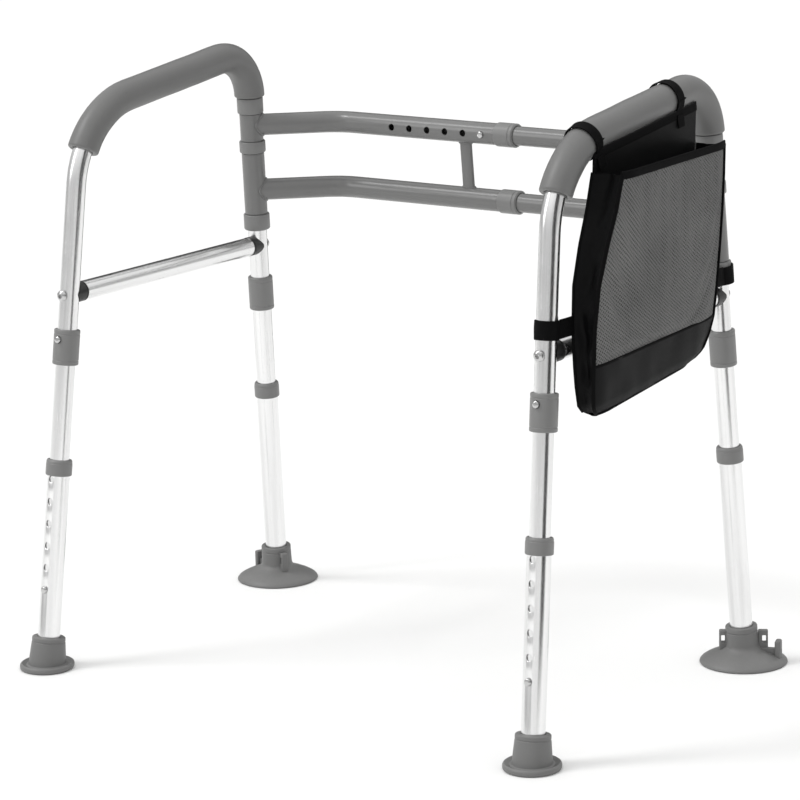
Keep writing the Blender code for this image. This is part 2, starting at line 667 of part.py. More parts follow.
def rail_path(side, level):
    """A rail's axis from the rear post, back and across to its inner end."""
    start = leg_place(side, "rear") @ (Z * RAIL_RUN[level])
    turn = Vector((start.x - side * RAIL_BEND_OUT, start.y + RAIL_BOW, start.z))
    inner_x = RAIL_END_X if side < 0 else RAIL_END_X - RAIL_OVERLAP
    return filleted_path([start, turn, Vector((inner_x, turn.y, start.z))], [RAIL_BEND_RADIUS], 9)


def rail_piece(name, side, level, axis):
    """One rail with its sleeve on the rear post, before its bores are cut."""
    diameter = OUTER_RAIL_DIAMETER if side < 0 else INNER_RAIL_DIAMETER
    path = rail_path(side, level)
    made = piece(name, loft_mesh(name, sweep_rings(path, diameter / 2, Z)), "grey_paint", None, axis)
    low, high = STACK["sleeve_top" if level == "upper" else "sleeve_bottom"]
    sleeve = loft_mesh("sleeve", lathe_rings([(SLEEVE_DIAMETER / 2, low), (SLEEVE_DIAMETER / 2, high)]))
    boolean(made, sleeve, "UNION", leg_place(side, "rear"))
    return made


def cut_rail_bores(target, side, level):
    """Hollows a rail from its inner end to its sleeve, and bores the sleeve for the post."""
    diameter = OUTER_RAIL_DIAMETER if side < 0 else INNER_RAIL_DIAMETER
    path = rail_path(side, level)
    path = trimmed_path(path, SLEEVE_DIAMETER / 2 + WALL, path_length(path))
    path[-1] = path[-1] - X * side * 0.001
    boolean(target, loft_mesh("bore", sweep_rings(path, diameter / 2 - WALL, Z)), "DIFFERENCE")
    low, high = STACK["sleeve_top" if level == "upper" else "sleeve_bottom"]
    bore = loft_mesh("bore", lathe_rings([(POST_BORE / 2, low - 0.001), (POST_BORE / 2, high + 0.001)]))
    boolean(target, bore, "DIFFERENCE", leg_place(side, "rear"))


def cut_rail_hole(target, centre):
    """A hole through the front wall of an upper rail."""
    hole = rod_mesh("hole", HOLE_DIAMETER, centre - Y * 0.002, centre - Y * 0.03, HOLE_SIDES)
    boolean(target, hole, "DIFFERENCE")


def left_crossbar(axis):
    """Both outer rails, their sleeves and the strut between them: one welded piece."""
    made = rail_piece("crossbar_left", -1, "upper", axis)
    lower = rail_path(-1, "lower")
    boolean(made, loft_mesh("rail", sweep_rings(lower, OUTER_RAIL_DIAMETER / 2, Z)), "UNION")
    low, high = STACK["sleeve_bottom"]
    sleeve = loft_mesh("sleeve", lathe_rings([(SLEEVE_DIAMETER / 2, low), (SLEEVE_DIAMETER / 2, high)]))
    boolean(made, sleeve, "UNION", leg_place(-1, "rear"))
    top, bottom = rail_path(-1, "upper")[-1], lower[-1]
    reach = OUTER_RAIL_DIAMETER / 2 - WALL / 2
    ends = [Vector((STRUT_X, bottom.y, bottom.z + reach)), Vector((STRUT_X, top.y, top.z - reach))]
    corners = [(-1, -1), (1, -1), (1, 1), (-1, 1)]
    half = Vector((STRUT_WIDTH / 2, STRUT_THICKNESS / 2, 0))
    rings = [[end + Vector((a * half.x, b * half.y, 0)) for a, b in corners] for end in ends]
    boolean(made, loft_mesh("strut", rings), "UNION")
    for level in ("upper", "lower"):
        cut_rail_bores(made, -1, level)
    first = RAIL_END_X - RAIL_BUTTON_INSET
    for n in range(HOLE_COUNT):
        cut_rail_hole(made, Vector((first - HOLE_PITCH * n, top.y, top.z)))


def right_rail(level, axis):
    """An inner rail with its sleeve, which telescopes into the outer rail."""
    made = rail_piece(f"crossbar_right_{level}", 1, level, axis)
    cut_rail_bores(made, 1, level)
    if level == "upper":
        centre = rail_path(1, level)[-1]
        centre.x = RAIL_END_X - RAIL_BUTTON_INSET
        cut_rail_hole(made, centre)


def rail_collar(level, axis):
    """A plastic collar on the outer rail's end that guides the inner rail."""
    end = rail_path(-1, level)[-1]
    end.x = RAIL_END_X
    r = RAIL_COLLAR_DIAMETER / 2
    outer, lip = OUTER_RAIL_DIAMETER / 2 + GAP, INNER_RAIL_DIAMETER / 2 + SLIDE_GAP
    back = RAIL_COLLAR_LENGTH / 2
    sections = [(-back, r), (back - 0.001, r), (back, r - 0.001), (back, lip)]
    sections += [(GAP, lip), (GAP, outer), (-back, outer)]
    rings = [ring(end + X * along, Z, Y, radius) for along, radius in sections]
    name = f"rail_collar_{level}"
    piece(name, loft_mesh(name, rings, hollow=True), "grey_plastic", None, axis)


def post_rings(side, axis):
    """Three bushings that keep the sleeves in place on the rear post."""
    for level in ("top", "middle", "bottom"):
        low, high = STACK[f"ring_{level}"]
        name = f"post_ring_{level}_{SIDE_NAMES[side]}"
        mesh = sleeve_mesh(name, RING_DIAMETER, ARM_TUBE_DIAMETER + 4 * GAP, low, high, 0.001)
        piece(name, mesh, "grey_plastic", leg_place(side, "rear"), axis)


# ---------------------------------------------------------------- side bag

def bag_ring(height, climb, front, rear, near, far, back_rises=False):
    """A cut-cornered rectangle across the bag, climbing to the rear.

    With back_rises, the back panel goes on up to the arm.
    """
    cut = min(BAG_CORNER, (far - near) * 0.45)
    outline = [
        (near, front + cut), (near + cut, front), (far - cut, front), (far, front + cut),
        (far, rear - cut), (far - cut, rear), (near + cut, rear), (near, rear - cut),
    ]
    points = []
    for x, y in outline:
        level = height + climb * (y - front) / (rear - front)
        if back_rises:
            share = min(1.0, (far - x) / (far - near - cut))
            level += (arm_height(y) - BAG_BELOW_ARM - level) * share
        points.append(Vector((x, y, level)))
    return points


def bag(axis):
    """A pocket hanging outside the right arm: narrow below, open above, with a taller back panel."""
    wall = BAG_WALL
    outer = []
    inner = []
    for drop, climb, front_space, rear_space, far in BAG_SECTIONS:
        height = ARM_FRONT_HEIGHT - drop
        front = leg_point("front", height).y + front_space
        rear = leg_point("rear", height).y - rear_space
        top = drop == BAG_SECTIONS[-1][0]
        outer.append(bag_ring(height, climb, front, rear, BAG_BACK, far, top))
        floor = 0 if top else wall
        walls = (front + wall, rear - wall, BAG_BACK + wall, far - wall)
        inner.insert(0, bag_ring(height + floor, climb, *walls, top))
    inner.pop()
    piece("bag", loft_mesh("bag", outer + inner), "black_fabric", side_place(BAG_SIDE), axis)


def arm_height(y):
    """Height of the arm's axis above a y position."""
    share = (y - ARM_FRONT_CORNER.y) / (ARM_REAR_CORNER.y - ARM_FRONT_CORNER.y)
    return ARM_FRONT_CORNER.z + share * (ARM_REAR_CORNER.z - ARM_FRONT_CORNER.z)


def band_loop(name, place, centre, along, inner_radius, width, axis):
    """A flat band around a tube."""
    across = along.cross(X).normalized()
    sections = [(-1, 0), (1, 0), (1, 1), (-1, 1)]
    rings = []
    for end, inside in sections:
        radius = inner_radius if inside else inner_radius + STRAP_THICKNESS
        rings.append(ring(centre + along * (end * width / 2), X, across, radius, SIDES))
    piece(name, loft_mesh(name, rings, hollow=True), "black_fabric", place, axis)


def bag_straps(axis):
    """Two loops over the grip and one strap around each leg, above the side rail."""
    place = side_place(BAG_SIDE)
    strap_height = CROSS_RAIL_HEIGHT + SADDLE_DIAMETER / 2 + STRAP_CLEARANCE + STRAP_WIDTH / 2
    along = (ARM_REAR_CORNER - ARM_FRONT_CORNER).normalized()
    reach = bend_reach(ARM_FRONT_CORNER, leg_point("front", 0), ARM_REAR_CORNER, FRONT_BEND_RADIUS)
    bend_end = ARM_FRONT_CORNER + along * reach
    rear_loop = ARM_REAR_CORNER - along * (REAR_BEND_DROP + LOOP_REAR_SPACE)
    bend_centre = bend_end + along.cross(X) * FRONT_BEND_RADIUS
    back = Matrix.Rotation(LOOP_BACK / FRONT_BEND_RADIUS, 3, "X")
    loops = {
        "front": (bend_centre + back @ (bend_end - bend_centre), back @ along),
        "rear": (rear_loop, along),
    }
    inner_radius = GRIP_DIAMETER / 2 + LOOP_SLACK
    for name, (centre, direction) in loops.items():
        band_loop(f"grip_loop_{name}", place, centre, direction, inner_radius, LOOP_WIDTH, axis)
    seats = {"front": ARM_TUBE_DIAMETER, "rear": RING_DIAMETER}  # behind, it lies on the bottom ring
    for end_name in END_NAMES:
        centre = leg_point(end_name, strap_height)
        direction = (ARM_FRONT_CORNER if end_name == "front" else ARM_REAR_CORNER) - centre
        direction.normalize()
        name = f"leg_strap_{end_name}"
        band_loop(name, place, centre, direction, seats[end_name] / 2 + 2 * GAP, STRAP_WIDTH, axis)


# ---------------------------------------------------------------- assembly

def main():
    clear_scene()
    crossbar_axis = empty("crossbar_frame", Matrix.Identity(4))
    width_axis = empty("width_slide_axis", Matrix.Identity(4), crossbar_axis)
    left_crossbar(crossbar_axis)
    for level in ("upper", "lower"):
        right_rail(level, width_axis)
        rail_collar(level, crossbar_axis)
    top = rail_path(-1, "upper")[-1]
    rail_place = Matrix.Translation((0, top.y, top.z))
    snap_button("rail_button", rail_place, -(RAIL_END_X - RAIL_BUTTON_INSET), -Y,
                INNER_RAIL_DIAMETER / 2 - WALL, OUTER_RAIL_DIAMETER / 2, width_axis, along=-X)
    for side, parent in ((-1, crossbar_axis), (1, width_axis)):
        swing = empty(f"swing_axis_{SIDE_NAMES[side]}", leg_place(side, "rear"), parent)
        arm_tube(side, swing)
        grip(side, swing)
        cross_rail(side, swing)
        post_rings(side, swing)
        for end in END_NAMES:
            slide = empty(f"slide_axis_{end}_{SIDE_NAMES[side]}", leg_place(side, end), swing)
            leg(side, end, swing, slide)
        if side == BAG_SIDE:
            bag(swing)
            bag_straps(swing)


main()
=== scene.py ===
import json
import math

import bpy
from mathutils import Matrix, Vector, noise


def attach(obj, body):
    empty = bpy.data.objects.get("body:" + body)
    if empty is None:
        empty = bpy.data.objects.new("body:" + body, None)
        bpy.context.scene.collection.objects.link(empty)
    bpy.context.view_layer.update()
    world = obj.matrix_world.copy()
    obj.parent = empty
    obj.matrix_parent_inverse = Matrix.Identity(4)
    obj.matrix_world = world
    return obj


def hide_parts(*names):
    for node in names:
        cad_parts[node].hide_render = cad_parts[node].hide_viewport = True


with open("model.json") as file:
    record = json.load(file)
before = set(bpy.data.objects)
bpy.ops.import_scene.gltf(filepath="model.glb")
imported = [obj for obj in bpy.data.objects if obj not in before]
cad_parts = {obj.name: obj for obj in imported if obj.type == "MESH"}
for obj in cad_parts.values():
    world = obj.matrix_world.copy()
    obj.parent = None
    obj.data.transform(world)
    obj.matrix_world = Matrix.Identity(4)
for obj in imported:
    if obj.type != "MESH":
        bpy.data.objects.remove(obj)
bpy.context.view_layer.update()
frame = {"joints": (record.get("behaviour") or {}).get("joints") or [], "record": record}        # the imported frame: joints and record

print("frame loaded")

joints = {joint["name"]: joint for joint in frame["joints"]}
mounts = {mount["name"]: mount for mount in frame["record"]["mounts"]}
sideNames = ("left", "right")
endNames = ("front", "rear")
facing = {"front": -1, "rear": 1}    # which way a leg's holes and buttons face
gap = 0.0003             # between pieces that touch
slideGap = 0.0004        # between tubes that telescope
wall = 0.0012            # of every tube
xAxis, yAxis, zAxis = Vector((1, 0, 0)), Vector((0, 1, 0)), Vector((0, 0, 1))


# where the legs and side planes stand, read from the frame
def legUp(end, side):
    return -Vector(joints[f"height_{end}_{side}"]["axis"]).normalized()


def footPoint(end, side):
    if end == "front":
        return Vector(mounts[f"foot_front_{side}"]["pos_m"])
    pivot = Vector(joints[f"{side}_side_fold"]["pos_m"])    # a side folds about its rear leg
    up = legUp("rear", side)
    return pivot - up * (pivot.z / up.z)


def matrixOf(across, along, up, place):
    rows = [(across[k], along[k], up[k], place[k]) for k in range(3)]
    return Matrix(rows + [(0, 0, 0, 1)])


sidePlace, legPlace = {}, {}
for side in sideNames:
    normal = legUp("front", side).cross(legUp("rear", side)).normalized()
    start = Vector((footPoint("front", side).x, 0, 0))
    sidePlace[side] = matrixOf(normal, yAxis, normal.cross(yAxis), start)
    for end in endNames:
        up = legUp(end, side)
        legPlace[end, side] = matrixOf(normal, up.cross(normal), up, footPoint(end, side))

rake = {}
for end in endNames:
    slant = sidePlace["right"].to_3x3().inverted() @ legUp(end, "right")
    rake[end] = math.atan2(slant.y, slant.z)


def legRun(end, height):    # distance up a leg's axis to a height in the side plane
    return height / math.cos(rake[end])


def legPoint(end, height):    # the same place in the side plane's own frame
    return Vector((0, footPoint(end, "right").y + height * math.tan(rake[end]), height))


def legInPlane(end):    # a leg's frame, seen from its side plane's frame
    return sidePlace["right"].inverted() @ legPlace[end, "right"]


# modelling steps that every piece uses
def between(first, last, share):
    return first + (last - first) * share


def deselectAll():
    bpy.ops.object.select_all(action="DESELECT")


def activate(piece):
    deselectAll()
    piece.select_set(True)
    bpy.context.view_layer.objects.active = piece


def startRing(name, radius, place=Matrix.Identity(4), sides=48):
    deselectAll()
    bpy.ops.mesh.primitive_circle_add(vertices=sides, radius=radius)
    piece = bpy.context.object
    piece.name = name
    piece.data.name = name
    piece.data.transform(place)
    bpy.ops.object.mode_set(mode="EDIT")
    bpy.ops.mesh.select_all(action="SELECT")
    return piece


def pushRing(step, scale=1.0, centre=None):    # extrudes the open ring, then shrinks or widens it
    bpy.ops.mesh.extrude_edges_move(TRANSFORM_OT_translate={"value": step})
    if abs(scale - 1.0) > 1e-6:
        bpy.ops.transform.resize(value=(scale, scale, scale), center_override=centre)


def closeSeam():    # joins the last ring to the first
    bpy.ops.mesh.select_all(action="DESELECT")
    bpy.ops.mesh.select_non_manifold()
    bpy.ops.mesh.bridge_edge_loops()


def capEnds():
    bpy.ops.mesh.select_all(action="DESELECT")
    bpy.ops.mesh.select_non_manifold()
    bpy.ops.mesh.edge_face_add()


def smooth(piece, degrees=35):
    activate(piece)
    bpy.ops.object.shade_smooth_by_angle(angle=math.radians(degrees))


def leaveEdit(piece, smoothDeg=35):
    bpy.ops.mesh.select_all(action="SELECT")
    bpy.ops.mesh.normals_make_consistent(inside=False)
    bpy.ops.object.mode_set(mode="OBJECT")
    smooth(piece, smoothDeg)
    return piece


def applyModifier(piece, kind, **settings):
    modifier = piece.modifiers.new(kind.lower(), kind)
    for key, value in settings.items():
        setattr(modifier, key, value)
    activate(piece)
    bpy.ops.object.modifier_apply(modifier=modifier.name)


def softenEdges(piece, width=0.0004, segments=2, limitDeg=35):
    applyModifier(piece, "BEVEL", width=width, segments=segments, limit_method="ANGLE",
                  angle_limit=math.radians(limitDeg), use_clamp_overlap=True)
    smooth(piece)
    return piece


def combine(piece, tool, operation="DIFFERENCE"):
    applyModifier(piece, "BOOLEAN", operation=operation, solver="EXACT", object=tool)
    bpy.data.objects.remove(tool, do_unlink=True)


def placed(piece, place):    # a finished piece keeps its place in its mesh
    piece.data.transform(place)
    piece.data.update()
    return piece


def copyOf(piece, name):
    twin = piece.copy()
    twin.data = piece.data.copy()
    twin.name = name
    twin.data.name = name
    bpy.context.scene.collection.objects.link(twin)
    return twin


def rod(name, radius, start, end, sides=24):
    along = (end - start).normalized()
    turn = zAxis.rotation_difference(along).to_matrix().to_4x4()
    piece = startRing(name, radius, Matrix.Translation(start) @ turn, sides)
    pushRing(end - start)
    capEnds()
    return leaveEdit(piece)


def turned(name, profile, sides=48, hollow=False):    # turned about local Z from (radius, height) pairs
    radius, height = profile[0]
    piece = startRing(name, radius, Matrix.Translation((0, 0, height)), sides)
    for nextRadius, nextHeight in profile[1:]:
        pushRing((0, 0, nextHeight - height), nextRadius / radius, (0, 0, nextHeight))
        radius, height = nextRadius, nextHeight
    if hollow:
        closeSeam()
    else:
        capEnds()
    return leaveEdit(piece)


# a route is a start, a direction and moves: a straight run, or a bend of (radius, signed angle)
def advance(point, direction, move, normal):
    if isinstance(move, float):
        return point + direction * move, direction
    radius, angle = move
    centre = point + normal.cross(direction) * math.copysign(radius, angle)
    turn = Matrix.Rotation(angle, 3, normal)
    return centre + turn @ (point - centre), turn @ direction


def moveLength(move):
    return move if isinstance(move, float) else move[0] * abs(move[1])


def shareOf(move, share):
    return move * share if isinstance(move, float) else (move[0], move[1] * share)


def trimRoute(point, direction, moves, normal, start, end):
    run, kept, first = 0.0, [], None
    for move in moves:
        length = moveLength(move)
        low, high = max(start - run, 0.0), min(end - run, length)
        if high - low > 1e-6:
            if first is None:
                first = advance(point, direction, shareOf(move, low / length), normal)
            kept.append(shareOf(move, (high - low) / length))
        point, direction = advance(point, direction, move, normal)
        run += length
    return first[0], first[1], kept


def sweepRing(point, direction, moves, normal, stepDeg=5):    # drags the open ring along the route
    for move in moves:
        if isinstance(move, float):
            pushRing(direction * move)
        else:
            radius, angle = move
            centre = point + normal.cross(direction) * math.copysign(radius, angle)
            steps = max(2, round(abs(math.degrees(angle)) / stepDeg))
            bpy.ops.mesh.spin(steps=steps, angle=-angle, center=centre, axis=normal)
        point, direction = advance(point, direction, move, normal)
    return point, direction


def bentTube(name, radius, bore, point, direction, moves, normal, sides=48):
    place = matrixOf(normal, direction.cross(normal), direction, point)
    piece = startRing(name, radius, place, sides)
    end, endDirection = sweepRing(point, direction, moves, normal)
    if not bore:
        capEnds()
        return leaveEdit(piece)
    pushRing((0, 0, 0), bore / radius, end)
    back = [move if isinstance(move, float) else (move[0], -move[1]) for move in reversed(moves)]
    sweepRing(end, -endDirection, back, normal)
    closeSeam()
    return leaveEdit(piece)


def pathOf(point, direction, moves, normal, pieces=10):
    path = [point]
    for move in moves:
        count = 1 if isinstance(move, float) else pieces
        for _ in range(count):
            point, direction = advance(point, direction, shareOf(move, 1 / count), normal)
            path.append(point)
    return path


def nearestOn(path, point):    # the nearest place on a path, its direction and the distance run
    best, run = None, 0.0
    for a, b in zip(path, path[1:]):
        share = max(0.0, min(1.0, (point - a).dot(b - a) / (b - a).length_squared))
        near = a.lerp(b, share)
        if best is None or (point - near).length < best[3]:
            best = (near, (b - a).normalized(), run + share * (b - a).length, (point - near).length)
        run += (b - a).length
    return best


def markStraight(piece, path=None, normal=xAxis):    # stores each point's place as if its tube were straight
    attribute = piece.data.attributes.new("straight", "FLOAT_VECTOR", "POINT")
    for vertex, item in zip(piece.data.vertices, attribute.data):
        if path is None:
            item.vector = vertex.co
            continue
        near, along, run, _ = nearestOn(path, vertex.co)
        away = vertex.co - near
        item.vector = (away.dot(normal), away.dot(along.cross(normal)), run)
    return piece


def keep(piece, body, slot, finish, *nodes):
    piece.data.materials.clear()
    piece.data.materials.append(finishes[finish])
    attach(piece, body)
    if nodes:
        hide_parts(*nodes)
    return piece


def eachSide(model, name, bodyName, slot, finish, nodeName, end=None):    # copies of a model on both sides
    for side in sideNames:
        place = legPlace[end, side] if end else sidePlace[side]
        piece = placed(copyOf(model, name.format(side=side)), place)
        keep(piece, bodyName.format(side=side), slot, finish, nodeName.format(side=side))
    bpy.data.objects.remove(model)


# node groups for effects that several finishes share
def newGroup(name, inputs, outputs):
    group = bpy.data.node_groups.new(name, "ShaderNodeTree")
    for label, kind, value in inputs:
        socket = group.interface.new_socket(name=label, in_out="INPUT", socket_type=kind)
        if value is not None:
            socket.default_value = value
    for label in outputs:
        group.interface.new_socket(name=label, in_out="OUTPUT", socket_type="NodeSocketFloat")
    given, result = group.nodes.new("NodeGroupInput"), group.nodes.new("NodeGroupOutput")
    return group, given.outputs, result.inputs


def mathNode(tree, operation, first, second=None, clamp=False):
    node = tree.nodes.new("ShaderNodeMath")
    node.operation = operation
    node.use_clamp = clamp
    for socket, value in zip(node.inputs, (first, second)):
        if isinstance(value, (int, float)):
            socket.default_value = value
        elif value is not None:
            tree.links.new(value, socket)
    return node.outputs[0]


def noiseNode(tree, vector, scale, detail=3.0, roughness=0.5):
    node = tree.nodes.new("ShaderNodeTexNoise")
    node.inputs["Detail"].default_value = detail
    node.inputs["Roughness"].default_value = roughness
    tree.links.new(vector, node.inputs["Vector"])
    if isinstance(scale, (int, float)):
        node.inputs["Scale"].default_value = scale
    else:
        tree.links.new(scale, node.inputs["Scale"])
    return node.outputs["Fac"]


def mappingNode(tree, vector, scale=(1, 1, 1), turnDeg=0.0):
    node = tree.nodes.new("ShaderNodeMapping")
    node.inputs["Scale"].default_value = scale
    node.inputs["Rotation"].default_value = (0, 0, math.radians(turnDeg))
    tree.links.new(vector, node.inputs["Vector"])
    return node.outputs["Vector"]


def aroundOne(tree, value, amount):    # turns 0..1 noise into 1 plus or minus half the amount
    centred = mathNode(tree, "SUBTRACT", value, 0.5)
    return mathNode(tree, "ADD", mathNode(tree, "MULTIPLY", centred, amount), 1.0)


def weighted(tree, first, firstShare, second, secondShare):
    return mathNode(tree, "ADD", mathNode(tree, "MULTIPLY", first, firstShare),
                    mathNode(tree, "MULTIPLY", second, secondShare))


def makeGrain():    # moulded or foam skin: fine grain, with a broad drift of tone
    group, given, result = newGroup("skinGrain", [
        ("Vector", "NodeSocketVector", None), ("Scale", "NodeSocketFloat", 900.0),
        ("Amount", "NodeSocketFloat", 0.1)], ["Tone", "Height"])
    fine = noiseNode(group, given["Vector"], given["Scale"], 2.0, 0.6)
    broad = noiseNode(group, given["Vector"], 14.0, 4.0, 0.55)
    mixed = weighted(group, broad, 0.6, fine, 0.4)
    group.links.new(aroundOne(group, mixed, given["Amount"]), result["Tone"])
    group.links.new(fine, result["Height"])
    return group


def makeStreaksAndReflectionBands():    # lengthwise drawing lines of extruded tube, clouded by handling, with broad soft bands round the tube in the tone that are a painted reflection
    group, given, result = newGroup("drawnStreaksAndPaintedReflections", [
        ("Vector", "NodeSocketVector", None), ("Amount", "NodeSocketFloat", 0.1)],
        ["Tone", "Rough", "Height"])
    lines = noiseNode(group, mappingNode(group, given["Vector"], (1, 1, 0.012)), 900.0, 3.0, 0.6)
    # painted reflection: broad lengthwise bands round the tube, darker where a dark surround would be
    # reflected
    paintedReflectionBands = noiseNode(group, mappingNode(group, given["Vector"], (1, 1, 0.02)), 95.0, 1.0, 0.4)
    clouds = noiseNode(group, given["Vector"], 30.0, 5.0, 0.6)
    streaksAndPaintedReflections = weighted(group, lines, 0.3, paintedReflectionBands, 0.7)
    group.links.new(aroundOne(group, streaksAndPaintedReflections, given["Amount"]), result["Tone"])
    group.links.new(weighted(group, lines, 0.5, clouds, 0.5), result["Rough"])
    group.links.new(lines, result["Height"])
    return group


def makeWeave():    # plain weave on a cloth's own flat coordinates
    group, given, result = newGroup("plainWeave", [
        ("Vector", "NodeSocketVector", None), ("Threads", "NodeSocketFloat", 1800.0)], ["Height", "Holes"])
    parts = group.nodes.new("ShaderNodeSeparateXYZ")
    group.links.new(given["Vector"], parts.inputs[0])
    waves = []
    for label in ("X", "Y"):
        phase = mathNode(group, "MULTIPLY", parts.outputs[label], given["Threads"])
        waves.append(mathNode(group, "ABSOLUTE", mathNode(group, "SINE", phase)))
    group.links.new(mathNode(group, "MAXIMUM", *waves), result["Height"])
    group.links.new(mathNode(group, "MULTIPLY", *waves), result["Holes"])
    return group


def makeDust():    # faint pale dust that gathers where the surface faces up
    group, given, result = newGroup("paleDust", [
        ("Vector", "NodeSocketVector", None), ("Amount", "NodeSocketFloat", 0.1)], ["Mask"])
    normal = group.nodes.new("ShaderNodeNewGeometry").outputs["Normal"]
    parts = group.nodes.new("ShaderNodeSeparateXYZ")
    group.links.new(normal, parts.inputs[0])
    facingUp = mathNode(group, "MAXIMUM", parts.outputs["Z"], 0.0)
    speckle = noiseNode(group, given["Vector"], 260.0, 5.0, 0.7)
    mask = mathNode(group, "MULTIPLY", mathNode(group, "MULTIPLY", facingUp, speckle), given["Amount"], True)
    group.links.new(mask, result["Mask"])
    return group


grainGroup, streakAndReflectionGroup, weaveGroup, dustGroup = makeGrain(), makeStreaksAndReflectionBands(), makeWeave(), makeDust()
print("node groups built")


def newMaterial(name, colour, roughness, metallic=0.0):
    material = bpy.data.materials.new(name)
    material.use_nodes = True
    shader = material.node_tree.nodes["Principled BSDF"]
    shader.inputs["Base Color"].default_value = (*colour, 1)
    shader.inputs["Roughness"].default_value = roughness
    shader.inputs["Metallic"].default_value = metallic
    return material, material.node_tree, shader.inputs


def attributeNode(tree, name):
    node = tree.nodes.new("ShaderNodeAttribute")
    node.attribute_name = name
    return node.outputs["Vector"]


def objectPlace(tree):
    return tree.nodes.new("ShaderNodeTexCoord").outputs["Object"]


def groupNode(tree, group, **values):
    node = tree.nodes.new("ShaderNodeGroup")
    node.node_tree = group
    for label, value in values.items():
        if isinstance(value, (int, float)):
            node.inputs[label].default_value = value
        else:
            tree.links.new(value, node.inputs[label])
    return node.outputs


def mixNode(tree, blend, factor, first, second):
    node = tree.nodes.new("ShaderNodeMix")
    node.data_type = "RGBA"
    node.blend_type = blend
    for socket, value in zip([node.inputs[0], node.inputs[6], node.inputs[7]], (factor, first, second)):
        if isinstance(value, tuple):
            socket.default_value = (*value, 1)
        elif isinstance(value, (int, float)):
            socket.default_value = value
        else:
            tree.links.new(value, socket)
    return node.outputs[2]


def bump(tree, inputs, height, strength, distance=0.0004):
    node = tree.nodes.new("ShaderNodeBump")
    node.inputs["Strength"].default_value = strength
    node.inputs["Distance"].default_value = distance
    tree.links.new(height, node.inputs["Height"])
    tree.links.new(node.outputs["Normal"], inputs["Normal"])


def aluminiumFinish(name, colour, roughness):
    material, tree, inputs = newMaterial(name, colour, roughness, 1.0)
    streaksAndReflections = groupNode(tree, streakAndReflectionGroup, Vector=attributeNode(tree, "straight"), Amount=0.75)
    # the base colour carries painted reflection bands as well as the real drawing lines
    tree.links.new(mixNode(tree, "MULTIPLY", 1.0, colour, streaksAndReflections["Tone"]), inputs["Base Color"])
    varied = mathNode(tree, "MULTIPLY", streaksAndReflections["Rough"], 0.3)
    tree.links.new(mathNode(tree, "ADD", varied, roughness - 0.15), inputs["Roughness"])
    bump(tree, inputs, streaksAndReflections["Height"], 0.06, 0.0002)
    return material


def mouldedFinish(name, colour, roughness, scale, amount, strength, dust=0.12, metallic=0.0):
    material, tree, inputs = newMaterial(name, colour, roughness, metallic)
    place = objectPlace(tree)
    grain = groupNode(tree, grainGroup, Vector=place, Scale=scale, Amount=amount)
    skin = mixNode(tree, "MULTIPLY", 1.0, colour, grain["Tone"])
    settled = groupNode(tree, dustGroup, Vector=place, Amount=dust)
    tree.links.new(mixNode(tree, "MIX", settled["Mask"], skin, (0.6, 0.6, 0.58)), inputs["Base Color"])
    tree.links.new(mathNode(tree, "MULTIPLY", grain["Tone"], roughness), inputs["Roughness"])
    bump(tree, inputs, grain["Height"], strength)
    return material


def clothFinish(name, colour, roughness, threads, strength, gloss):
    material, tree, inputs = newMaterial(name, colour, roughness)
    weave = groupNode(tree, weaveGroup, Vector=attributeNode(tree, "straight"), Threads=threads)
    place = objectPlace(tree)
    grain = groupNode(tree, grainGroup, Vector=place, Scale=500.0, Amount=0.7)
    cloth = mixNode(tree, "MULTIPLY", 1.0, colour, grain["Tone"])
    # painted highlight: the raised threads of the weave are mixed toward grey
    paintedThreadHighlight = mixNode(tree, "MIX", mathNode(tree, "MULTIPLY", weave["Height"], 0.002), cloth, (0.5, 0.5, 0.5))
    settled = groupNode(tree, dustGroup, Vector=place, Amount=0.005)
    tree.links.new(mixNode(tree, "MIX", settled["Mask"], paintedThreadHighlight, (0.6, 0.6, 0.58)), inputs["Base Color"])
    inputs["Specular IOR Level"].default_value = gloss
    bump(tree, inputs, weave["Height"], strength)
    return material


def netFinish(name, colour, threads):    # an open net whose holes show what is behind
    material, tree, inputs = newMaterial(name, colour, 0.75)
    place = mappingNode(tree, attributeNode(tree, "straight"), (1, 1, 1), 35)
    weave = groupNode(tree, weaveGroup, Vector=place, Threads=threads)
    grain = groupNode(tree, grainGroup, Vector=objectPlace(tree), Scale=420.0, Amount=1.3)
    tree.links.new(mixNode(tree, "MULTIPLY", 1.0, colour, grain["Tone"]), inputs["Base Color"])
    tree.links.new(mathNode(tree, "SUBTRACT", 1.3, weave["Holes"], True), inputs["Alpha"])
    bump(tree, inputs, weave["Holes"], 0.4)
    return material


finishes = {
    "aluminium": aluminiumFinish("satinAluminium", (0.84, 0.84, 0.84), 0.24),
    "paint": mouldedFinish("greyPowderCoat", (0.165, 0.165, 0.163), 0.27, 1500.0, 0.14, 0.06, 0.04),
    "plastic": mouldedFinish("greyMouldedPlastic", (0.190, 0.190, 0.188), 0.40, 1300.0, 0.18, 0.10, 0.05),
    "rubber": mouldedFinish("greyRubber", (0.160, 0.160, 0.158), 0.50, 800.0, 0.30, 0.16, 0.08),
    "foam": mouldedFinish("foamSkin", (0.150, 0.150, 0.148), 0.42, 1100.0, 0.28, 0.25, 0.05),
    "black": mouldedFinish("blackMouldedPlastic", (0.010, 0.010, 0.010), 0.40, 1000.0, 0.3, 0.1, 0.01),
    "steel": mouldedFinish("platedSteel", (0.56, 0.56, 0.56), 0.20, 400.0, 0.14, 0.02, 0.0, 1.0),
    "nylon": clothFinish("blackNylon", (0.0020, 0.0020, 0.0023), 0.50, 2600.0, 0.30, 0.10),
    "webbing": clothFinish("blackWebbing", (0.0020, 0.0020, 0.0022), 0.75, 1500.0, 0.6, 0.08),
    "net": netFinish("greyNet", (0.125, 0.125, 0.123), 1000.0),
}
print("finishes ready")


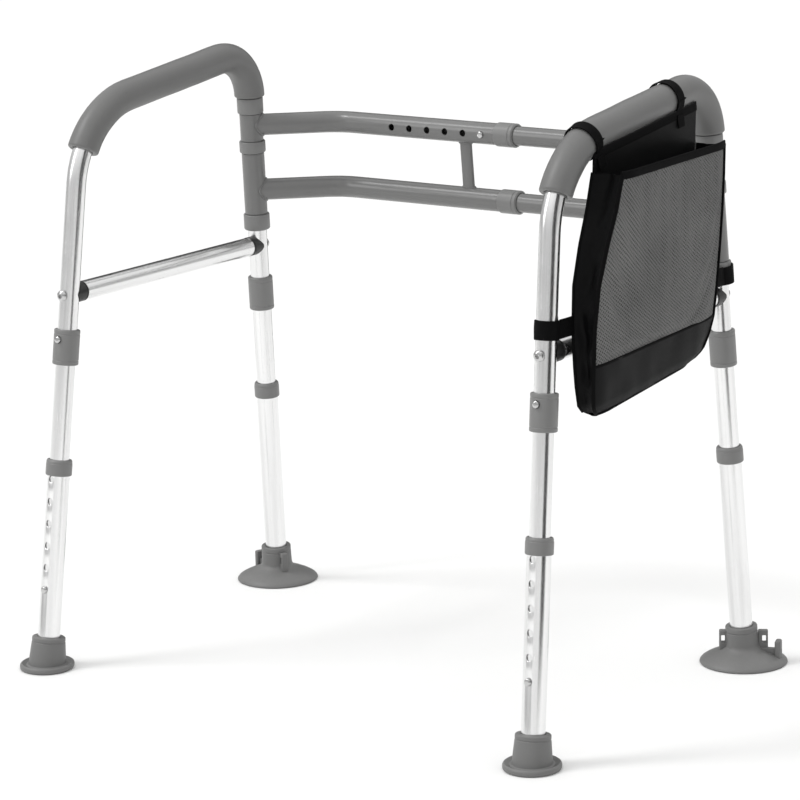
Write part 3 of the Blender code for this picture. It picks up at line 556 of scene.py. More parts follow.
# camera and light
camera = {"place": (2.2392, -3.04815, 1.1826), "azimuth": 0.631, "elevation": 0.228, "roll": -0.026,
          "lens": 156.7}
sky = {"low": 0.46, "rise": 0.72}
sun = {"strength": 0.75, "spreadDeg": 14, "aim": (0.55, 0.42, -1.0)}
key = {"place": (-1.9, -2.2, 1.9), "target": (0, 0, 0.45), "size": (0.5, 1.6), "power": 14}
floorSheet = {"size": 16, "drop": 0.0004, "colour": (0.9, 0.9, 0.895), "roughness": 0.6}


def setCamera():
    a, e, roll = camera["azimuth"], camera["elevation"], camera["roll"]
    back = Vector((math.sin(a) * math.cos(e), -math.cos(a) * math.cos(e), math.sin(e)))
    across = (-back).cross(zAxis).normalized()
    right = math.cos(roll) * across + math.sin(roll) * back.cross(across)
    lens = bpy.data.cameras.new("view")
    lens.sensor_width = 36
    lens.lens = camera["lens"]
    lens.clip_end = 50
    view = bpy.data.objects.new("view", lens)
    bpy.context.scene.collection.objects.link(view)
    view.matrix_world = matrixOf(right, back.cross(right), back, Vector(camera["place"]))
    bpy.context.scene.camera = view
    bpy.context.scene.view_settings.view_transform = "Standard"


def hangLight(name, kind, strength, aim, place=(0, 0, 0)):
    lamp = bpy.data.lights.new(name, kind)
    lamp.energy = strength
    holder = bpy.data.objects.new(name, lamp)
    bpy.context.scene.collection.objects.link(holder)
    holder.location = place
    holder.rotation_euler = Vector(aim).to_track_quat("-Z", "Y").to_euler()
    return lamp


def setLights():
    lamp = hangLight("softSun", "SUN", sun["strength"], sun["aim"])
    lamp.angle = math.radians(sun["spreadDeg"])
    aim = Vector(key["target"]) - Vector(key["place"])
    lamp = hangLight("keyLight", "AREA", key["power"], aim, key["place"])
    lamp.shape = "RECTANGLE"
    lamp.size, lamp.size_y = key["size"]


cards = [    # dark cards that only reflections see: bearing and distance, width, height
    {"bearingDeg": -18, "distance": 1.15, "width": 0.55, "height": 1.5},
    {"bearingDeg": 128, "distance": 1.5, "width": 1.1, "height": 1.5}]


def setCards(material):
    for number, card in enumerate(cards):
        a = math.radians(card["bearingDeg"])
        deselectAll()
        bpy.ops.mesh.primitive_plane_add(size=1)
        sheet = bpy.context.object
        sheet.name = f"card_{number}"
        size = Matrix.Diagonal((card["width"], card["height"], 1, 1))
        away, across = Vector((math.cos(a), math.sin(a), 0)), Vector((-math.sin(a), math.cos(a), 0))
        place = away * card["distance"] + zAxis * card["height"] / 2
        sheet.data.transform(matrixOf(across, zAxis, away, place) @ size)
        sheet.data.materials.append(material)
        for ray in ("camera", "diffuse", "shadow", "transmission"):
            setattr(sheet, f"visible_{ray}", False)


def setWorld():    # a white sky, brighter overhead
    world = bpy.data.worlds.new("studio")
    world.use_nodes = True
    tree = world.node_tree
    bpy.context.scene.world = world
    parts = tree.nodes.new("ShaderNodeSeparateXYZ")
    tree.links.new(tree.nodes.new("ShaderNodeTexCoord").outputs["Generated"], parts.inputs[0])
    height = mathNode(tree, "MAXIMUM", parts.outputs["Z"], 0.0)
    strength = mathNode(tree, "ADD", mathNode(tree, "MULTIPLY", height, sky["rise"]), sky["low"])
    tree.nodes["Background"].inputs["Color"].default_value = (1, 1, 1, 1)
    tree.links.new(strength, tree.nodes["Background"].inputs["Strength"])


def setFloor():
    colour = floorSheet["colour"]
    deselectAll()
    bpy.ops.mesh.primitive_plane_add(size=floorSheet["size"])
    floor = bpy.context.object
    floor.name = "floor"
    floor.data.transform(Matrix.Translation((0, 0, -floorSheet["drop"])))
    material, tree, inputs = newMaterial("paleFloor", colour, floorSheet["roughness"])
    grain = groupNode(tree, grainGroup, Vector=objectPlace(tree), Scale=60.0, Amount=0.02)
    tree.links.new(mixNode(tree, "MULTIPLY", 1.0, colour, grain["Tone"]), inputs["Base Color"])
    inputs["Specular IOR Level"].default_value = 0.0
    floor.data.materials.append(material)


setCamera()
setWorld()
setLights()
setFloor()
setCards(newMaterial("darkCard", (0.02, 0.02, 0.02), 0.9)[0])
print("camera and studio set")

# arm tubes: one bent tube on each side, from front leg to rear leg
arm = {"diameter": 0.0222, "jointHeight": 0.3656, "cornerHeight": 0.6263,
       "riseDeg": 6.95, "frontBend": 0.105, "rearBend": 0.052}
bolt = {"height": 0.4248, "diameter": 0.006, "head": 0.0125, "headHeight": 0.0040,
        "socket": 0.0056, "socketDepth": 0.0032, "sides": 40}
button = {"diameter": 0.0076, "proud": 0.0027, "hole": 0.0082, "catchRise": 0.0088, "sides": 28}
armRadius = arm["diameter"] / 2


def armRoute():    # start, direction and moves of the arm's axis, in the side plane's frame
    front, rearFoot = legPoint("front", arm["cornerHeight"]), legPoint("rear", 0)
    rise = math.tan(math.radians(arm["riseDeg"]))
    height = (front.z + rise * (rearFoot.y - front.y)) / (1 - rise * math.tan(rake["rear"]))
    rear = legPoint("rear", height)
    start, finish = (legPoint(end, arm["jointHeight"] + gap / 2) for end in endNames)
    up, along, down = (front - start).normalized(), (rear - front).normalized(), (finish - rear).normalized()
    turns = up.angle(along), along.angle(down)
    reaches = arm["frontBend"] * math.tan(turns[0] / 2), arm["rearBend"] * math.tan(turns[1] / 2)
    moves = [(front - start).length - reaches[0], (arm["frontBend"], -turns[0]),
             (rear - front).length - sum(reaches), (arm["rearBend"], -turns[1]),
             (finish - rear).length - reaches[1]]
    return start, up, moves


armStart, armUp, armMoves = armRoute()
armLength = sum(moveLength(move) for move in armMoves)
armFrontCorner = legPoint("front", arm["cornerHeight"])
postTop = legRun("rear", arm["jointHeight"] + gap / 2) + armMoves[-1]    # where the rear leg becomes straight


def holeTool(end, run, radius):    # through one wall of a leg, on the side its button faces
    outward = yAxis * facing[end]
    return rod("tool", radius, zAxis * run + outward * 0.002, zAxis * run + outward * 0.03)


def makeArms():
    model = bentTube("armTube", armRadius, armRadius - wall, armStart, armUp, armMoves, xAxis)
    for end in endNames:
        run = legRun(end, arm["jointHeight"]) + button["catchRise"]
        combine(model, placed(holeTool(end, run, button["hole"] / 2), legInPlane(end)))
        middle = legPoint(end, bolt["height"])
        through = yAxis * 0.016
        combine(model, rod("tool", bolt["diameter"] / 2 + gap, middle - through, middle + through))
    smooth(model)
    markStraight(model, pathOf(armStart, armUp, armMoves, xAxis))
    eachSide(model, "armTube_{side}", "side_frame_{side}", "aluminium", "aluminium", "arm_tube_{side}")


makeArms()
print("arm tubes done")

# foam grips: a soft sleeve over each arm, a little uneven along its length
grip = {"diameter": 0.036, "frontHeight": 0.5853, "tail": 0.003, "lip": 0.0024, "unevenness": 0.00045,
        "spacing": 0.006}


def makeGrips():
    start = legRun("front", grip["frontHeight"]) - legRun("front", arm["jointHeight"])
    end = armLength - armMoves[-1] + grip["tail"]
    route = trimRoute(armStart, armUp, armMoves, xAxis, start, end)
    steps = []
    for move in route[2]:    # short runs, so that the foam can be uneven everywhere
        count = max(1, round(moveLength(move) / grip["spacing"])) if isinstance(move, float) else 1
        steps += [shareOf(move, 1 / count)] * count
    radius = grip["diameter"] / 2
    model = bentTube("grip", radius, armRadius + gap, route[0], route[1], steps, xAxis, 56)
    softenEdges(model, grip["lip"], 4, 60)
    path = pathOf(*route, xAxis)
    markStraight(model, path)
    for number, side in enumerate(sideNames):
        piece = copyOf(model, f"gripFoam_{side}")
        for vertex in piece.data.vertices:
            near, _, run, distance = nearestOn(path, vertex.co)
            if distance < radius * 0.8:
                continue
            away = (vertex.co - near).normalized()
            swell = noise.noise(Vector((away.x * 0.7, away.z * 0.7 + number * 7, run * 28)))
            vertex.co += away * (swell - 0.5) * grip["unevenness"]
        smooth(piece, 50)
        placed(piece, sidePlace[side])
        keep(piece, f"side_frame_{side}", "grip_foam", "foam", f"grip_{side}")
    bpy.data.objects.remove(model)


makeGrips()
print("grips done")

# side rails, with a saddle cap and a bolt at each end
saddle = {"diameter": 0.0228, "length": 0.0095, "plug": 0.012, "boltReach": 0.020, "groove": 0.0007}


def crossPlace(end, height):    # a frame whose Z runs from a leg along the side rail, inwards
    inward = -yAxis * facing[end]
    return matrixOf(xAxis, inward.cross(xAxis), inward, legPoint(end, height))


def makeSideRails():
    off = armRadius + saddle["length"] + gap
    start = legPoint("front", bolt["height"]) + yAxis * off
    length = (legPoint("rear", bolt["height"]) - yAxis * off - start).length
    model = bentTube("sideRail", armRadius, armRadius - wall, start, yAxis, [length], xAxis)
    softenEdges(model, 0.0003)
    markStraight(model, [start, start + yAxis * length])
    eachSide(model, "sideRail_{side}", "side_frame_{side}", "aluminium", "aluminium", "cross_rail_{side}")


def makeSaddle(end):
    radius, face = saddle["diameter"] / 2, armRadius + saddle["length"]
    plug = armRadius - wall - gap
    dip = radius - saddle["groove"]
    profile = [(radius, 0.003), (radius, face - 0.0026), (dip, face - 0.0020), (dip, face - 0.0015),
               (radius, face - 0.0009), (radius, face), (plug, face), (plug, face + saddle["plug"])]
    model = placed(turned("saddle", profile), crossPlace(end, bolt["height"]))
    run = legRun(end, bolt["height"])
    seat = rod("seat", armRadius + 2 * gap, zAxis * (run - 0.03), zAxis * (run + 0.03), 64)
    combine(model, placed(seat, legInPlane(end)))
    leg = legPoint(end, bolt["height"])
    inward = -yAxis * facing[end]
    boreEnd = leg + inward * (armRadius + saddle["boltReach"] + gap)
    combine(model, rod("bore", bolt["diameter"] / 2 + gap, leg, boreEnd))
    softenEdges(model, 0.0004)
    node = f"saddle_{end}_{{side}}"
    eachSide(model, node, "side_frame_{side}", "black_plastic", "black", node)


def makeBolt(end):
    head, top, shank = bolt["head"] / 2, bolt["headHeight"], bolt["diameter"] / 2
    standOff = armRadius / math.cos(rake[end]) + head * abs(math.tan(rake[end])) + gap
    tip = standOff + armRadius + saddle["boltReach"] - 0.001
    profile = [(shank - 0.0008, tip), (shank, tip - 0.001), (shank, 0.0), (head - 0.0002, 0.0),
               (head, -0.0002), (head, -0.0007)]
    for k in range(1, 9):    # the domed head
        a = math.pi / 2 * k / 9
        profile.append((head * math.cos(a) ** 0.75, -0.0007 - (top - 0.0007) * math.sin(a)))
    profile.append((bolt["socket"] / 2, -top))
    model = turned("bolt", profile, bolt["sides"])
    hexagon = rod("hexagon", bolt["socket"] / 2, zAxis * (bolt["socketDepth"] - top), zAxis * -0.01, 6)
    combine(model, hexagon)
    softenEdges(model, 0.00015)
    placed(model, crossPlace(end, bolt["height"]) @ Matrix.Translation((0, 0, -standOff)))
    eachSide(model, f"bolt_{end}_{{side}}", "side_frame_{side}", "steel", "steel", f"bolt_{end}_{{side}}")


makeSideRails()
for end in endNames:
    makeSaddle(end)
    makeBolt(end)
print("side rails done")

# legs: collars and telescoping tubes, each turned about its leg
longCollar = {"diameter": 0.0295, "length": 0.040, "round": 0.0012, "groove": 0.0004}
shortCollar = {"diameter": 0.030, "length": 0.018, "lip": 0.006, "height": {"front": 0.2295, "rear": 0.244}}
lowerTube = {"topHoleDrop": 0.0132, "holePitch": 0.0254, "holeCount": 6,
             "foot": {"front": 0.0095, "rear": 0.0240}}
middleTube = {"spigotGap": 0.0003, "spigotLength": 0.036, "tail": 0.020}
lowerRadius = armRadius + slideGap + wall
spigotRadius = armRadius - wall - middleTube["spigotGap"]


def holeRuns(end):
    top = legRun(end, shortCollar["height"][end]) - lowerTube["topHoleDrop"]
    return [top - lowerTube["holePitch"] * n for n in range(lowerTube["holeCount"])]


def makeLongCollar(end):
    radius, half, lip = longCollar["diameter"] / 2, longCollar["length"] / 2, longCollar["round"]
    middle, bore, dip = legRun(end, arm["jointHeight"]), armRadius + gap, longCollar["groove"]
    rim = [(0.0, bore), (0.0, radius - lip), (lip * 0.3, radius - lip * 0.3), (lip, radius), (0.0042, radius),
           (0.0047, radius - dip), (0.0053, radius - dip), (0.0058, radius)]
    profile = [(width, middle - half + inset) for inset, width in rim]
    profile += [(width, middle + half - inset) for inset, width in reversed(rim)]
    model = turned("longCollar", profile, 56, True)
    combine(model, holeTool(end, middle + button["catchRise"], button["hole"] / 2))
    softenEdges(model, 0.0004)
    eachSide(model, f"longCollar_{end}_{{side}}", "side_frame_{side}", "grey_plastic", "plastic",
             f"long_collar_{end}_{{side}}", end)


def makeShortCollar(end):
    radius, half = shortCollar["diameter"] / 2, shortCollar["length"] / 2
    middle, bore, lip = legRun(end, shortCollar["height"][end]), lowerRadius + gap, armRadius + slideGap
    low, high = middle - half, middle + half
    step = high - shortCollar["lip"]
    profile = [(radius - 0.0006, low), (radius, low + 0.0008), (radius, high - 0.0045),
               (radius - 0.0005, high - 0.0040), (radius - 0.0005, high - 0.0034),
               (radius - 0.0002, high - 0.0029), (radius - 0.0006, high - 0.0012),
               (radius - 0.0016, high), (lip, high), (lip, step), (bore, step), (bore, low)]
    model = softenEdges(turned("shortCollar", profile, 56, True), 0.0003)
    eachSide(model, f"shortCollar_{end}_{{side}}", f"leg_{end}_{{side}}", "grey_plastic", "plastic",
             f"short_collar_{end}_{{side}}", end)


def makeMiddleTube(end):
    joint, tail = legRun(end, arm["jointHeight"]), holeRuns(end)[-1] - middleTube["tail"]
    top, shoulder, inner = joint + middleTube["spigotLength"], joint - gap, spigotRadius - wall
    profile = [(armRadius, tail), (armRadius, shoulder), (spigotRadius, shoulder), (spigotRadius, top),
               (inner, top), (inner, tail)]
    model = turned("middleTube", profile, 48, True)
    for run in (holeRuns(end)[-1], joint + button["catchRise"]):
        combine(model, holeTool(end, run, button["hole"] / 2))
    smooth(model)
    markStraight(model)
    eachSide(model, f"middleTube_{end}_{{side}}", "side_frame_{side}", "aluminium", "aluminium",
             f"middle_tube_{end}_{{side}}", end)


def makeLowerTube(end):
    bottom = legRun(end, lowerTube["foot"][end])
    top = legRun(end, shortCollar["height"][end]) + shortCollar["length"] / 2 - shortCollar["lip"] - gap
    inner = lowerRadius - wall
    profile = [(lowerRadius, bottom), (lowerRadius, top), (inner, top), (inner, bottom)]
    model = turned("lowerTube", profile, 48, True)
    for run in holeRuns(end):
        combine(model, holeTool(end, run, button["hole"] / 2))
    softenEdges(model, 0.0002)
    markStraight(model)
    eachSide(model, f"lowerTube_{end}_{{side}}", f"leg_{end}_{{side}}", "aluminium", "aluminium",
             f"lower_tube_{end}_{{side}}", end)


def buttonModel(name, leaf, face):    # a domed stud on a leaf of spring strip, pointing along local Y
    radius, tip, thick = button["diameter"] / 2, face + button["proud"], 0.0006
    profile = [(radius, leaf - thick / 2), (radius, tip - 0.0011)]
    for k in range(1, 8):
        a = math.pi / 2 * k / 8
        profile.append((radius * math.cos(a) ** 0.6, tip - 0.0011 + 0.0011 * math.sin(a)))
    model = placed(turned(name, profile, button["sides"]), Matrix.Rotation(-math.pi / 2, 4, "X"))
    bore = leaf + 0.0014
    back, low, high = -(bore - 0.0052), -0.024, 0.006
    fold, cut, half = 0.002, 0.001, 0.0025
    outline = [(leaf, high), (leaf, low + 0.004), (leaf - fold, low + cut), (back + fold, low + cut),
               (back, low + 0.004), (back, high - 0.006),
               (back + thick, high - 0.006), (back + thick, low + 0.004),
               (back + fold + thick, low + cut + thick), (leaf - fold - thick, low + cut + thick),
               (leaf - thick, low + 0.004), (leaf - thick, high)]
    clip = startRing("clip", 1.0, sides=len(outline))
    bpy.ops.object.mode_set(mode="OBJECT")
    for vertex, (reach, rise) in zip(clip.data.vertices, outline):
        vertex.co = (-half, reach, rise)
    bpy.ops.object.mode_set(mode="EDIT")
    bpy.ops.mesh.select_all(action="SELECT")
    pushRing(xAxis * half * 2)
    capEnds()
    leaveEdit(clip)
    combine(model, clip, "UNION")
    return softenEdges(model, 0.00012)


def makeLegButtons(end):
    turn = Matrix.Identity(4) if facing[end] > 0 else Matrix.Rotation(math.pi, 4, "Z")
    leaf = spigotRadius - wall - 0.0014
    studs = {"collar": (legRun(end, arm["jointHeight"]) + button["catchRise"], longCollar["diameter"] / 2),
             "leg": (holeRuns(end)[-1], lowerRadius)}
    for kind, (run, face) in studs.items():
        model = placed(buttonModel("stud", leaf, face), Matrix.Translation((0, 0, run)) @ turn)
        node = f"{kind}_button_{end}_{{side}}"
        eachSide(model, f"{kind}Stud_{end}_{{side}}", node, "steel", "steel", node, end)


for end in endNames:
    makeLongCollar(end)
    makeShortCollar(end)
    makeMiddleTube(end)
    makeLowerTube(end)
    makeLegButtons(end)
print("legs done")

# feet: a flared rubber tip in front, a suction cup behind
tip = {"base": 0.062, "top": 0.036, "height": 0.036}
cup = {"diameter": 0.099, "hub": 0.036, "height": 0.043, "tabDeg": 20, "earsDeg": (30, 212)}


def leanWithLeg(piece, follow, up):    # flat at the floor, square to the leg at the top
    for vertex in piece.data.vertices:
        share = follow(vertex.co.z)
        normal = zAxis.lerp(up, share).normalized()
        across = (xAxis - normal * xAxis.dot(normal)).normalized()
        height = vertex.co.z
        vertex.co = up * (height / up.z) + across * vertex.co.x + normal.cross(across) * vertex.co.y
    return piece


def ramp(low, high):
    return lambda height: max(0.0, min(1.0, (height - low) / (high - low)))


def makeTips():
    base, top, height, bore = tip["base"] / 2, tip["top"] / 2, tip["height"], lowerRadius + gap
    inside = lowerTube["foot"]["front"] - gap
    flange = [(-0.0072, 0.0012), (-0.0058, 0.0), (-0.0016, 0.0), (-0.0004, 0.0007), (0.0, 0.002),
              (0.0, 0.0042), (-0.0006, 0.0056), (-0.002, 0.0065), (-0.0034, 0.0062), (-0.0046, 0.0052)]
    foot = [(0.0058, 0.0048), (0.0040, 0.0058), (0.0032, 0.0085), (0.0027, 0.013)]
    neck = [(0.0012, 0.0066), (0.0006, 0.0060), (0.0006, 0.0052), (0.0011, 0.0046), (0.0009, 0.0012),
            (0.0, 0.0003), (-0.0010, 0.0)]
    profile = [(base + past, level) for past, level in flange] + [(top + past, level) for past, level in foot]
    profile += [(top + past, height - drop) for past, drop in neck]
    profile += [(bore + 0.0006, height), (bore, height - 0.0006), (bore, inside)]
    for side in sideNames:
        up = legUp("front", side)
        piece = leanWithLeg(turned(f"rubberTip_{side}", profile, 72), ramp(0.0065, 0.013), up)
        placed(piece, Matrix.Translation(footPoint("front", side)))
        smooth(piece, 40)
        keep(piece, f"leg_front_{side}", "grey_rubber", "rubber", f"rubber_tip_front_{side}")


def blockAt(name, angle, reach, width, thick, low, high, bevel):    # an upright block, facing out at an angle
    deselectAll()
    bpy.ops.mesh.primitive_cube_add(size=1)
    piece = bpy.context.object
    piece.name = name
    turn = Matrix.Rotation(angle, 4, "Z")
    size = Matrix.Diagonal((thick, width, high - low, 1))
    piece.data.transform(turn @ Matrix.Translation((reach, 0, (low + high) / 2)) @ size)
    applyModifier(piece, "BEVEL", width=bevel, segments=3)
    return piece


def makeCups():
    rim, hub, height, bore = cup["diameter"] / 2, cup["hub"] / 2, cup["height"], lowerRadius + gap
    inside = lowerTube["foot"]["rear"] - gap
    profile = [(0.006, 0.0135), (0.014, 0.0125), (rim * 0.5, 0.0105), (rim * 0.72, 0.0075),
               (rim * 0.86, 0.0034), (rim - 0.0035, 0.0), (rim - 0.0008, 0.0), (rim, 0.0008),
               (rim - 0.0003, 0.0018), (rim * 0.955, 0.0040), (rim * 0.9, 0.0058), (rim * 0.84, 0.0075),
               (rim * 0.75, 0.0096), (rim * 0.66, 0.0115), (rim * 0.56, 0.0132), (hub + 0.0060, 0.0150),
               (hub + 0.0032, 0.0166), (hub + 0.0010, 0.0190), (hub + 0.0004, 0.0225),
               (hub, height - 0.0070), (hub - 0.0005, height - 0.0064), (hub - 0.0005, height - 0.0056),
               (hub, height - 0.0050), (hub, height - 0.0012), (hub - 0.0004, height - 0.0003),
               (hub - 0.0012, height), (bore + 0.0006, height), (bore, height - 0.0006), (bore, inside)]
    for side in sideNames:
        up, outSign = legUp("rear", side), 1 if side == "right" else -1
        piece = leanWithLeg(turned(f"suctionCup_{side}", profile, 80), ramp(0.0166, 0.0225), up)

        def about(degrees):    # an angle round the hub, mirrored on the left
            a = math.radians(degrees)
            return math.atan2(math.sin(a), outSign * math.cos(a))

        tab = blockAt("tab", about(cup["tabDeg"]), rim - 0.0100, 0.013, 0.0068, 0.004, 0.0270, 0.0020)
        combine(piece, tab, "UNION")
        reach = (hub + rim) / 2 - 0.006
        rib = blockAt("rib", about(cup["tabDeg"]), reach, 0.0060, rim - hub, 0.006, 0.0178, 0.0016)
        combine(piece, rib, "UNION")
        for degrees in cup["earsDeg"]:
            ear = blockAt("ear", about(degrees), hub + 0.0038, 0.0078, 0.0112, 0.0125, 0.0370, 0.0014)
            slot = blockAt("slot", about(degrees), hub + 0.0050, 0.02, 0.0042, 0.0230, 0.0315, 0.0008)
            combine(ear, slot)
            combine(piece, ear, "UNION")
        inner = rod("bore", bore, up * ((inside + 0.0002) / up.z), up * 0.06, 64)
        combine(piece, inner)
        placed(piece, Matrix.Translation(footPoint("rear", side)))
        smooth(piece, 40)
        keep(piece, f"leg_rear_{side}", "grey_rubber", "rubber", f"suction_cup_rear_{side}")


makeTips()
makeCups()
print("feet done")

# rear posts and crossbar
post = {"ringDiameter": 0.031, "sleeveDiameter": 0.0268, "upperRailDrop": 0.0145, "lowerRailDrop": 0.0460,
        "lengths": {"ring_top": 0.0190, "sleeve_top": 0.0330, "ring_middle": 0.0140,
                    "sleeve_bottom": 0.0745, "ring_bottom": 0.0190}}
rail = {"diameter": 0.0254, "bow": 0.071, "bendOut": 0.078, "bendRadius": 0.055, "endX": 0.0038,
        "overlap": 0.0440, "buttonInset": 0.0301, "collarDiameter": 0.028, "collarLength": 0.026}
strut = {"x": -0.056, "width": 0.016, "thickness": 0.008}
bead = {"radius": 0.0014, "ripple": 0.12, "ripples": 34}
innerRail = rail["diameter"] - 2 * wall - 2 * slideGap

stack, level = {}, postTop - grip["tail"] - 2 * gap
for name, length in post["lengths"].items():
    stack[name] = (level - length, level)
    level -= length + gap
railRun = {"upper": stack["sleeve_top"][1] - post["upperRailDrop"],
           "lower": stack["sleeve_bottom"][1] - post["lowerRailDrop"]}


def railRoute(side, height):    # a rail's axis from the rear post, back and across to its inner end
    sign = 1 if side == "right" else -1
    start = legPlace["rear", side] @ (zAxis * railRun[height])
    turn = Vector((start.x - sign * rail["bendOut"], start.y + rail["bow"], start.z))
    inner = Vector((rail["endX"] - (rail["overlap"] if sign > 0 else 0), turn.y, start.z))
    out, across = (turn - start).normalized(), (inner - turn).normalized()
    angle = out.angle(across)
    reach = rail["bendRadius"] * math.tan(angle / 2)
    moves = [(turn - start).length - reach, (rail["bendRadius"], sign * angle), (inner - turn).length - reach]
    return start, out, moves


def sleeveOf(height):
    return stack["sleeve_top" if height == "upper" else "sleeve_bottom"]


def cutRailBores(piece, side, height, outer):
    start, out, moves = railRoute(side, height)
    first = post["sleeveDiameter"] / 2 + wall
    point, direction, kept = trimRoute(start, out, moves, zAxis, first, 10)
    kept[-1] += 0.001
    combine(piece, bentTube("bore", outer / 2 - wall, 0, point, direction, kept, zAxis))
    low, high = sleeveOf(height)
    bore = rod("bore", armRadius + slideGap, zAxis * (low - 0.001), zAxis * (high + 0.001), 56)
    combine(piece, placed(bore, legPlace["rear", side]))


def addSleeve(piece, side, height):
    low, high = sleeveOf(height)
    radius, edge = post["sleeveDiameter"] / 2, 0.0006
    profile = [(radius - edge, low), (radius, low + edge), (radius, high - edge), (radius - edge, high)]
    combine(piece, placed(turned("sleeve", profile, 56), legPlace["rear", side]), "UNION")


def addBead(piece, place, ringRadius, offsetOf, number):    # a rippled weld bead around a joint
    deselectAll()
    bpy.ops.mesh.primitive_torus_add(major_segments=96, minor_segments=10, major_radius=ringRadius,
                                     minor_radius=bead["radius"])
    torus = bpy.context.object
    for vertex in torus.data.vertices:
        a = math.atan2(vertex.co.y, vertex.co.x)
        middle = Vector((math.cos(a), math.sin(a), 0)) * ringRadius
        ripple = bead["ripple"] * math.sin(a * bead["ripples"])
        swell = 1 + ripple + 0.1 * noise.noise(Vector((a * 2, number, 0)))
        vertex.co = middle + (vertex.co - middle) * swell + zAxis * offsetOf(a)
    placed(torus, place)
    combine(piece, torus, "UNION")


def sleeveBead(piece, side, height, outer, number):
    start, out, _ = railRoute(side, height)
    radius, sleeve = outer / 2, post["sleeveDiameter"] / 2
    place = matrixOf(out.cross(zAxis), zAxis, -out, start)    # local Y up, local -Z out along the rail
    flat = lambda a: -math.sqrt(max(sleeve ** 2 - (radius * math.cos(a)) ** 2, 0.0)) - 0.0004
    addBead(piece, place, radius, flat, number)


def railHole(piece, centre):
    combine(piece, rod("tool", button["hole"] / 2, centre - yAxis * 0.002, centre - yAxis * 0.03))


def makeLeftCrossbar():
    start, out, moves = railRoute("left", "upper")
    outer = rail["diameter"]
    piece = bentTube("crossbarLeft", outer / 2, 0, start, out, moves, zAxis)
    combine(piece, bentTube("lowerRail", outer / 2, 0, *railRoute("left", "lower"), zAxis), "UNION")
    ends = [pathOf(*railRoute("left", height), zAxis)[-1] for height in ("upper", "lower")]
    reach = outer / 2 - wall / 2
    top, bottom = (Vector((strut["x"], point.y, point.z)) for point in ends)
    bar = rod("strut", strut["width"] / 2, bottom + zAxis * reach, top - zAxis * reach, 40)
    for vertex in bar.data.vertices:    # a flattened tube
        share = (vertex.co.z - bottom.z) / (top.z - bottom.z)
        middle = bottom.y + (top.y - bottom.y) * share
        vertex.co.y = middle + (vertex.co.y - middle) * strut["thickness"] / strut["width"]
    combine(piece, bar, "UNION")
    for number, height in enumerate(("upper", "lower")):
        addSleeve(piece, "left", height)
        sleeveBead(piece, "left", height, outer, number)
    half = strut["thickness"] / 2
    flatten = Matrix.Diagonal((1, strut["thickness"] / strut["width"], 1, 1))
    for point, sign in ((top, -1), (bottom, 1)):
        place = Matrix.Translation(point) @ flatten
        seat = lambda a: sign * (math.sqrt((outer / 2) ** 2 - (half * math.sin(a)) ** 2) + 0.0003)
        addBead(piece, place, strut["width"] / 2, seat, 5 + sign)
    for height in ("upper", "lower"):
        cutRailBores(piece, "left", height, outer)
    first = rail["endX"] - rail["buttonInset"]
    for n in range(lowerTube["holeCount"]):
        railHole(piece, Vector((first - lowerTube["holePitch"] * n, ends[0].y, ends[0].z)))
    smooth(piece, 40)
    keep(piece, "crossbar_left", "grey_paint", "paint", "crossbar_left")


def makeRightRail(height, number):
    start, out, moves = railRoute("right", height)
    piece = bentTube(f"crossbarRight_{height}", innerRail / 2, 0, start, out, moves, zAxis)
    addSleeve(piece, "right", height)
    sleeveBead(piece, "right", height, innerRail, number)
    cutRailBores(piece, "right", height, innerRail)
    if height == "upper":
        end = pathOf(start, out, moves, zAxis)[-1]
        railHole(piece, Vector((rail["endX"] - rail["buttonInset"], end.y, end.z)))
    smooth(piece, 40)
    keep(piece, "crossbar_right", "grey_paint", "paint", f"crossbar_right_{height}")


def makeRailCollar(height):
    end = pathOf(*railRoute("left", height), zAxis)[-1]
    radius, half = rail["collarDiameter"] / 2, rail["collarLength"] / 2
    outer, lip = rail["diameter"] / 2 + gap, innerRail / 2 + slideGap
    profile = [(radius - 0.0008, -half), (radius, -half + 0.0009), (radius, half - 0.0062),
               (radius - 0.0005, half - 0.0057), (radius - 0.0005, half - 0.0051), (radius, half - 0.0046),
               (radius, half - 0.0014), (radius - 0.0014, half), (lip, half), (lip, gap), (outer, gap),
               (outer, -half)]
    model = softenEdges(turned(f"railCollar_{height}", profile, 56, True), 0.0003)
    placed(model, matrixOf(yAxis, zAxis, xAxis, end))
    keep(model, "crossbar_left", "grey_plastic", "plastic", f"rail_collar_{height}")


def makeRailButton():
    end = pathOf(*railRoute("left", "upper"), zAxis)[-1]
    model = buttonModel("railStud", innerRail / 2 - wall - 0.0014, rail["diameter"] / 2)
    centre = Vector((rail["endX"] - rail["buttonInset"], end.y, end.z))
    placed(model, matrixOf(-zAxis, -yAxis, -xAxis, centre))
    keep(model, "rail_button", "steel", "steel", "rail_button")


def makePostRings():
    for ringName in ("top", "middle", "bottom"):
        low, high = stack[f"ring_{ringName}"]
        radius, bore, lip = post["ringDiameter"] / 2, armRadius + 2 * gap, 0.0014
        rim = [(0.0, bore), (0.0, radius - lip), (lip * 0.3, radius - lip * 0.3), (lip, radius)]
        profile = [(width, low + inset) for inset, width in rim]
        profile += [(width, high - inset) for inset, width in reversed(rim)]
        model = softenEdges(turned("postRing", profile, 56, True), 0.0003)
        eachSide(model, f"postRing_{ringName}_{{side}}", "side_frame_{side}", "grey_plastic", "plastic",
                 f"post_ring_{ringName}_{{side}}", "rear")


makeLeftCrossbar()
makeRightRail("upper", 3)
makeRightRail("lower", 4)
for height in ("upper", "lower"):
    makeRailCollar(height)
makeRailButton()
makePostRings()
print("crossbar done")

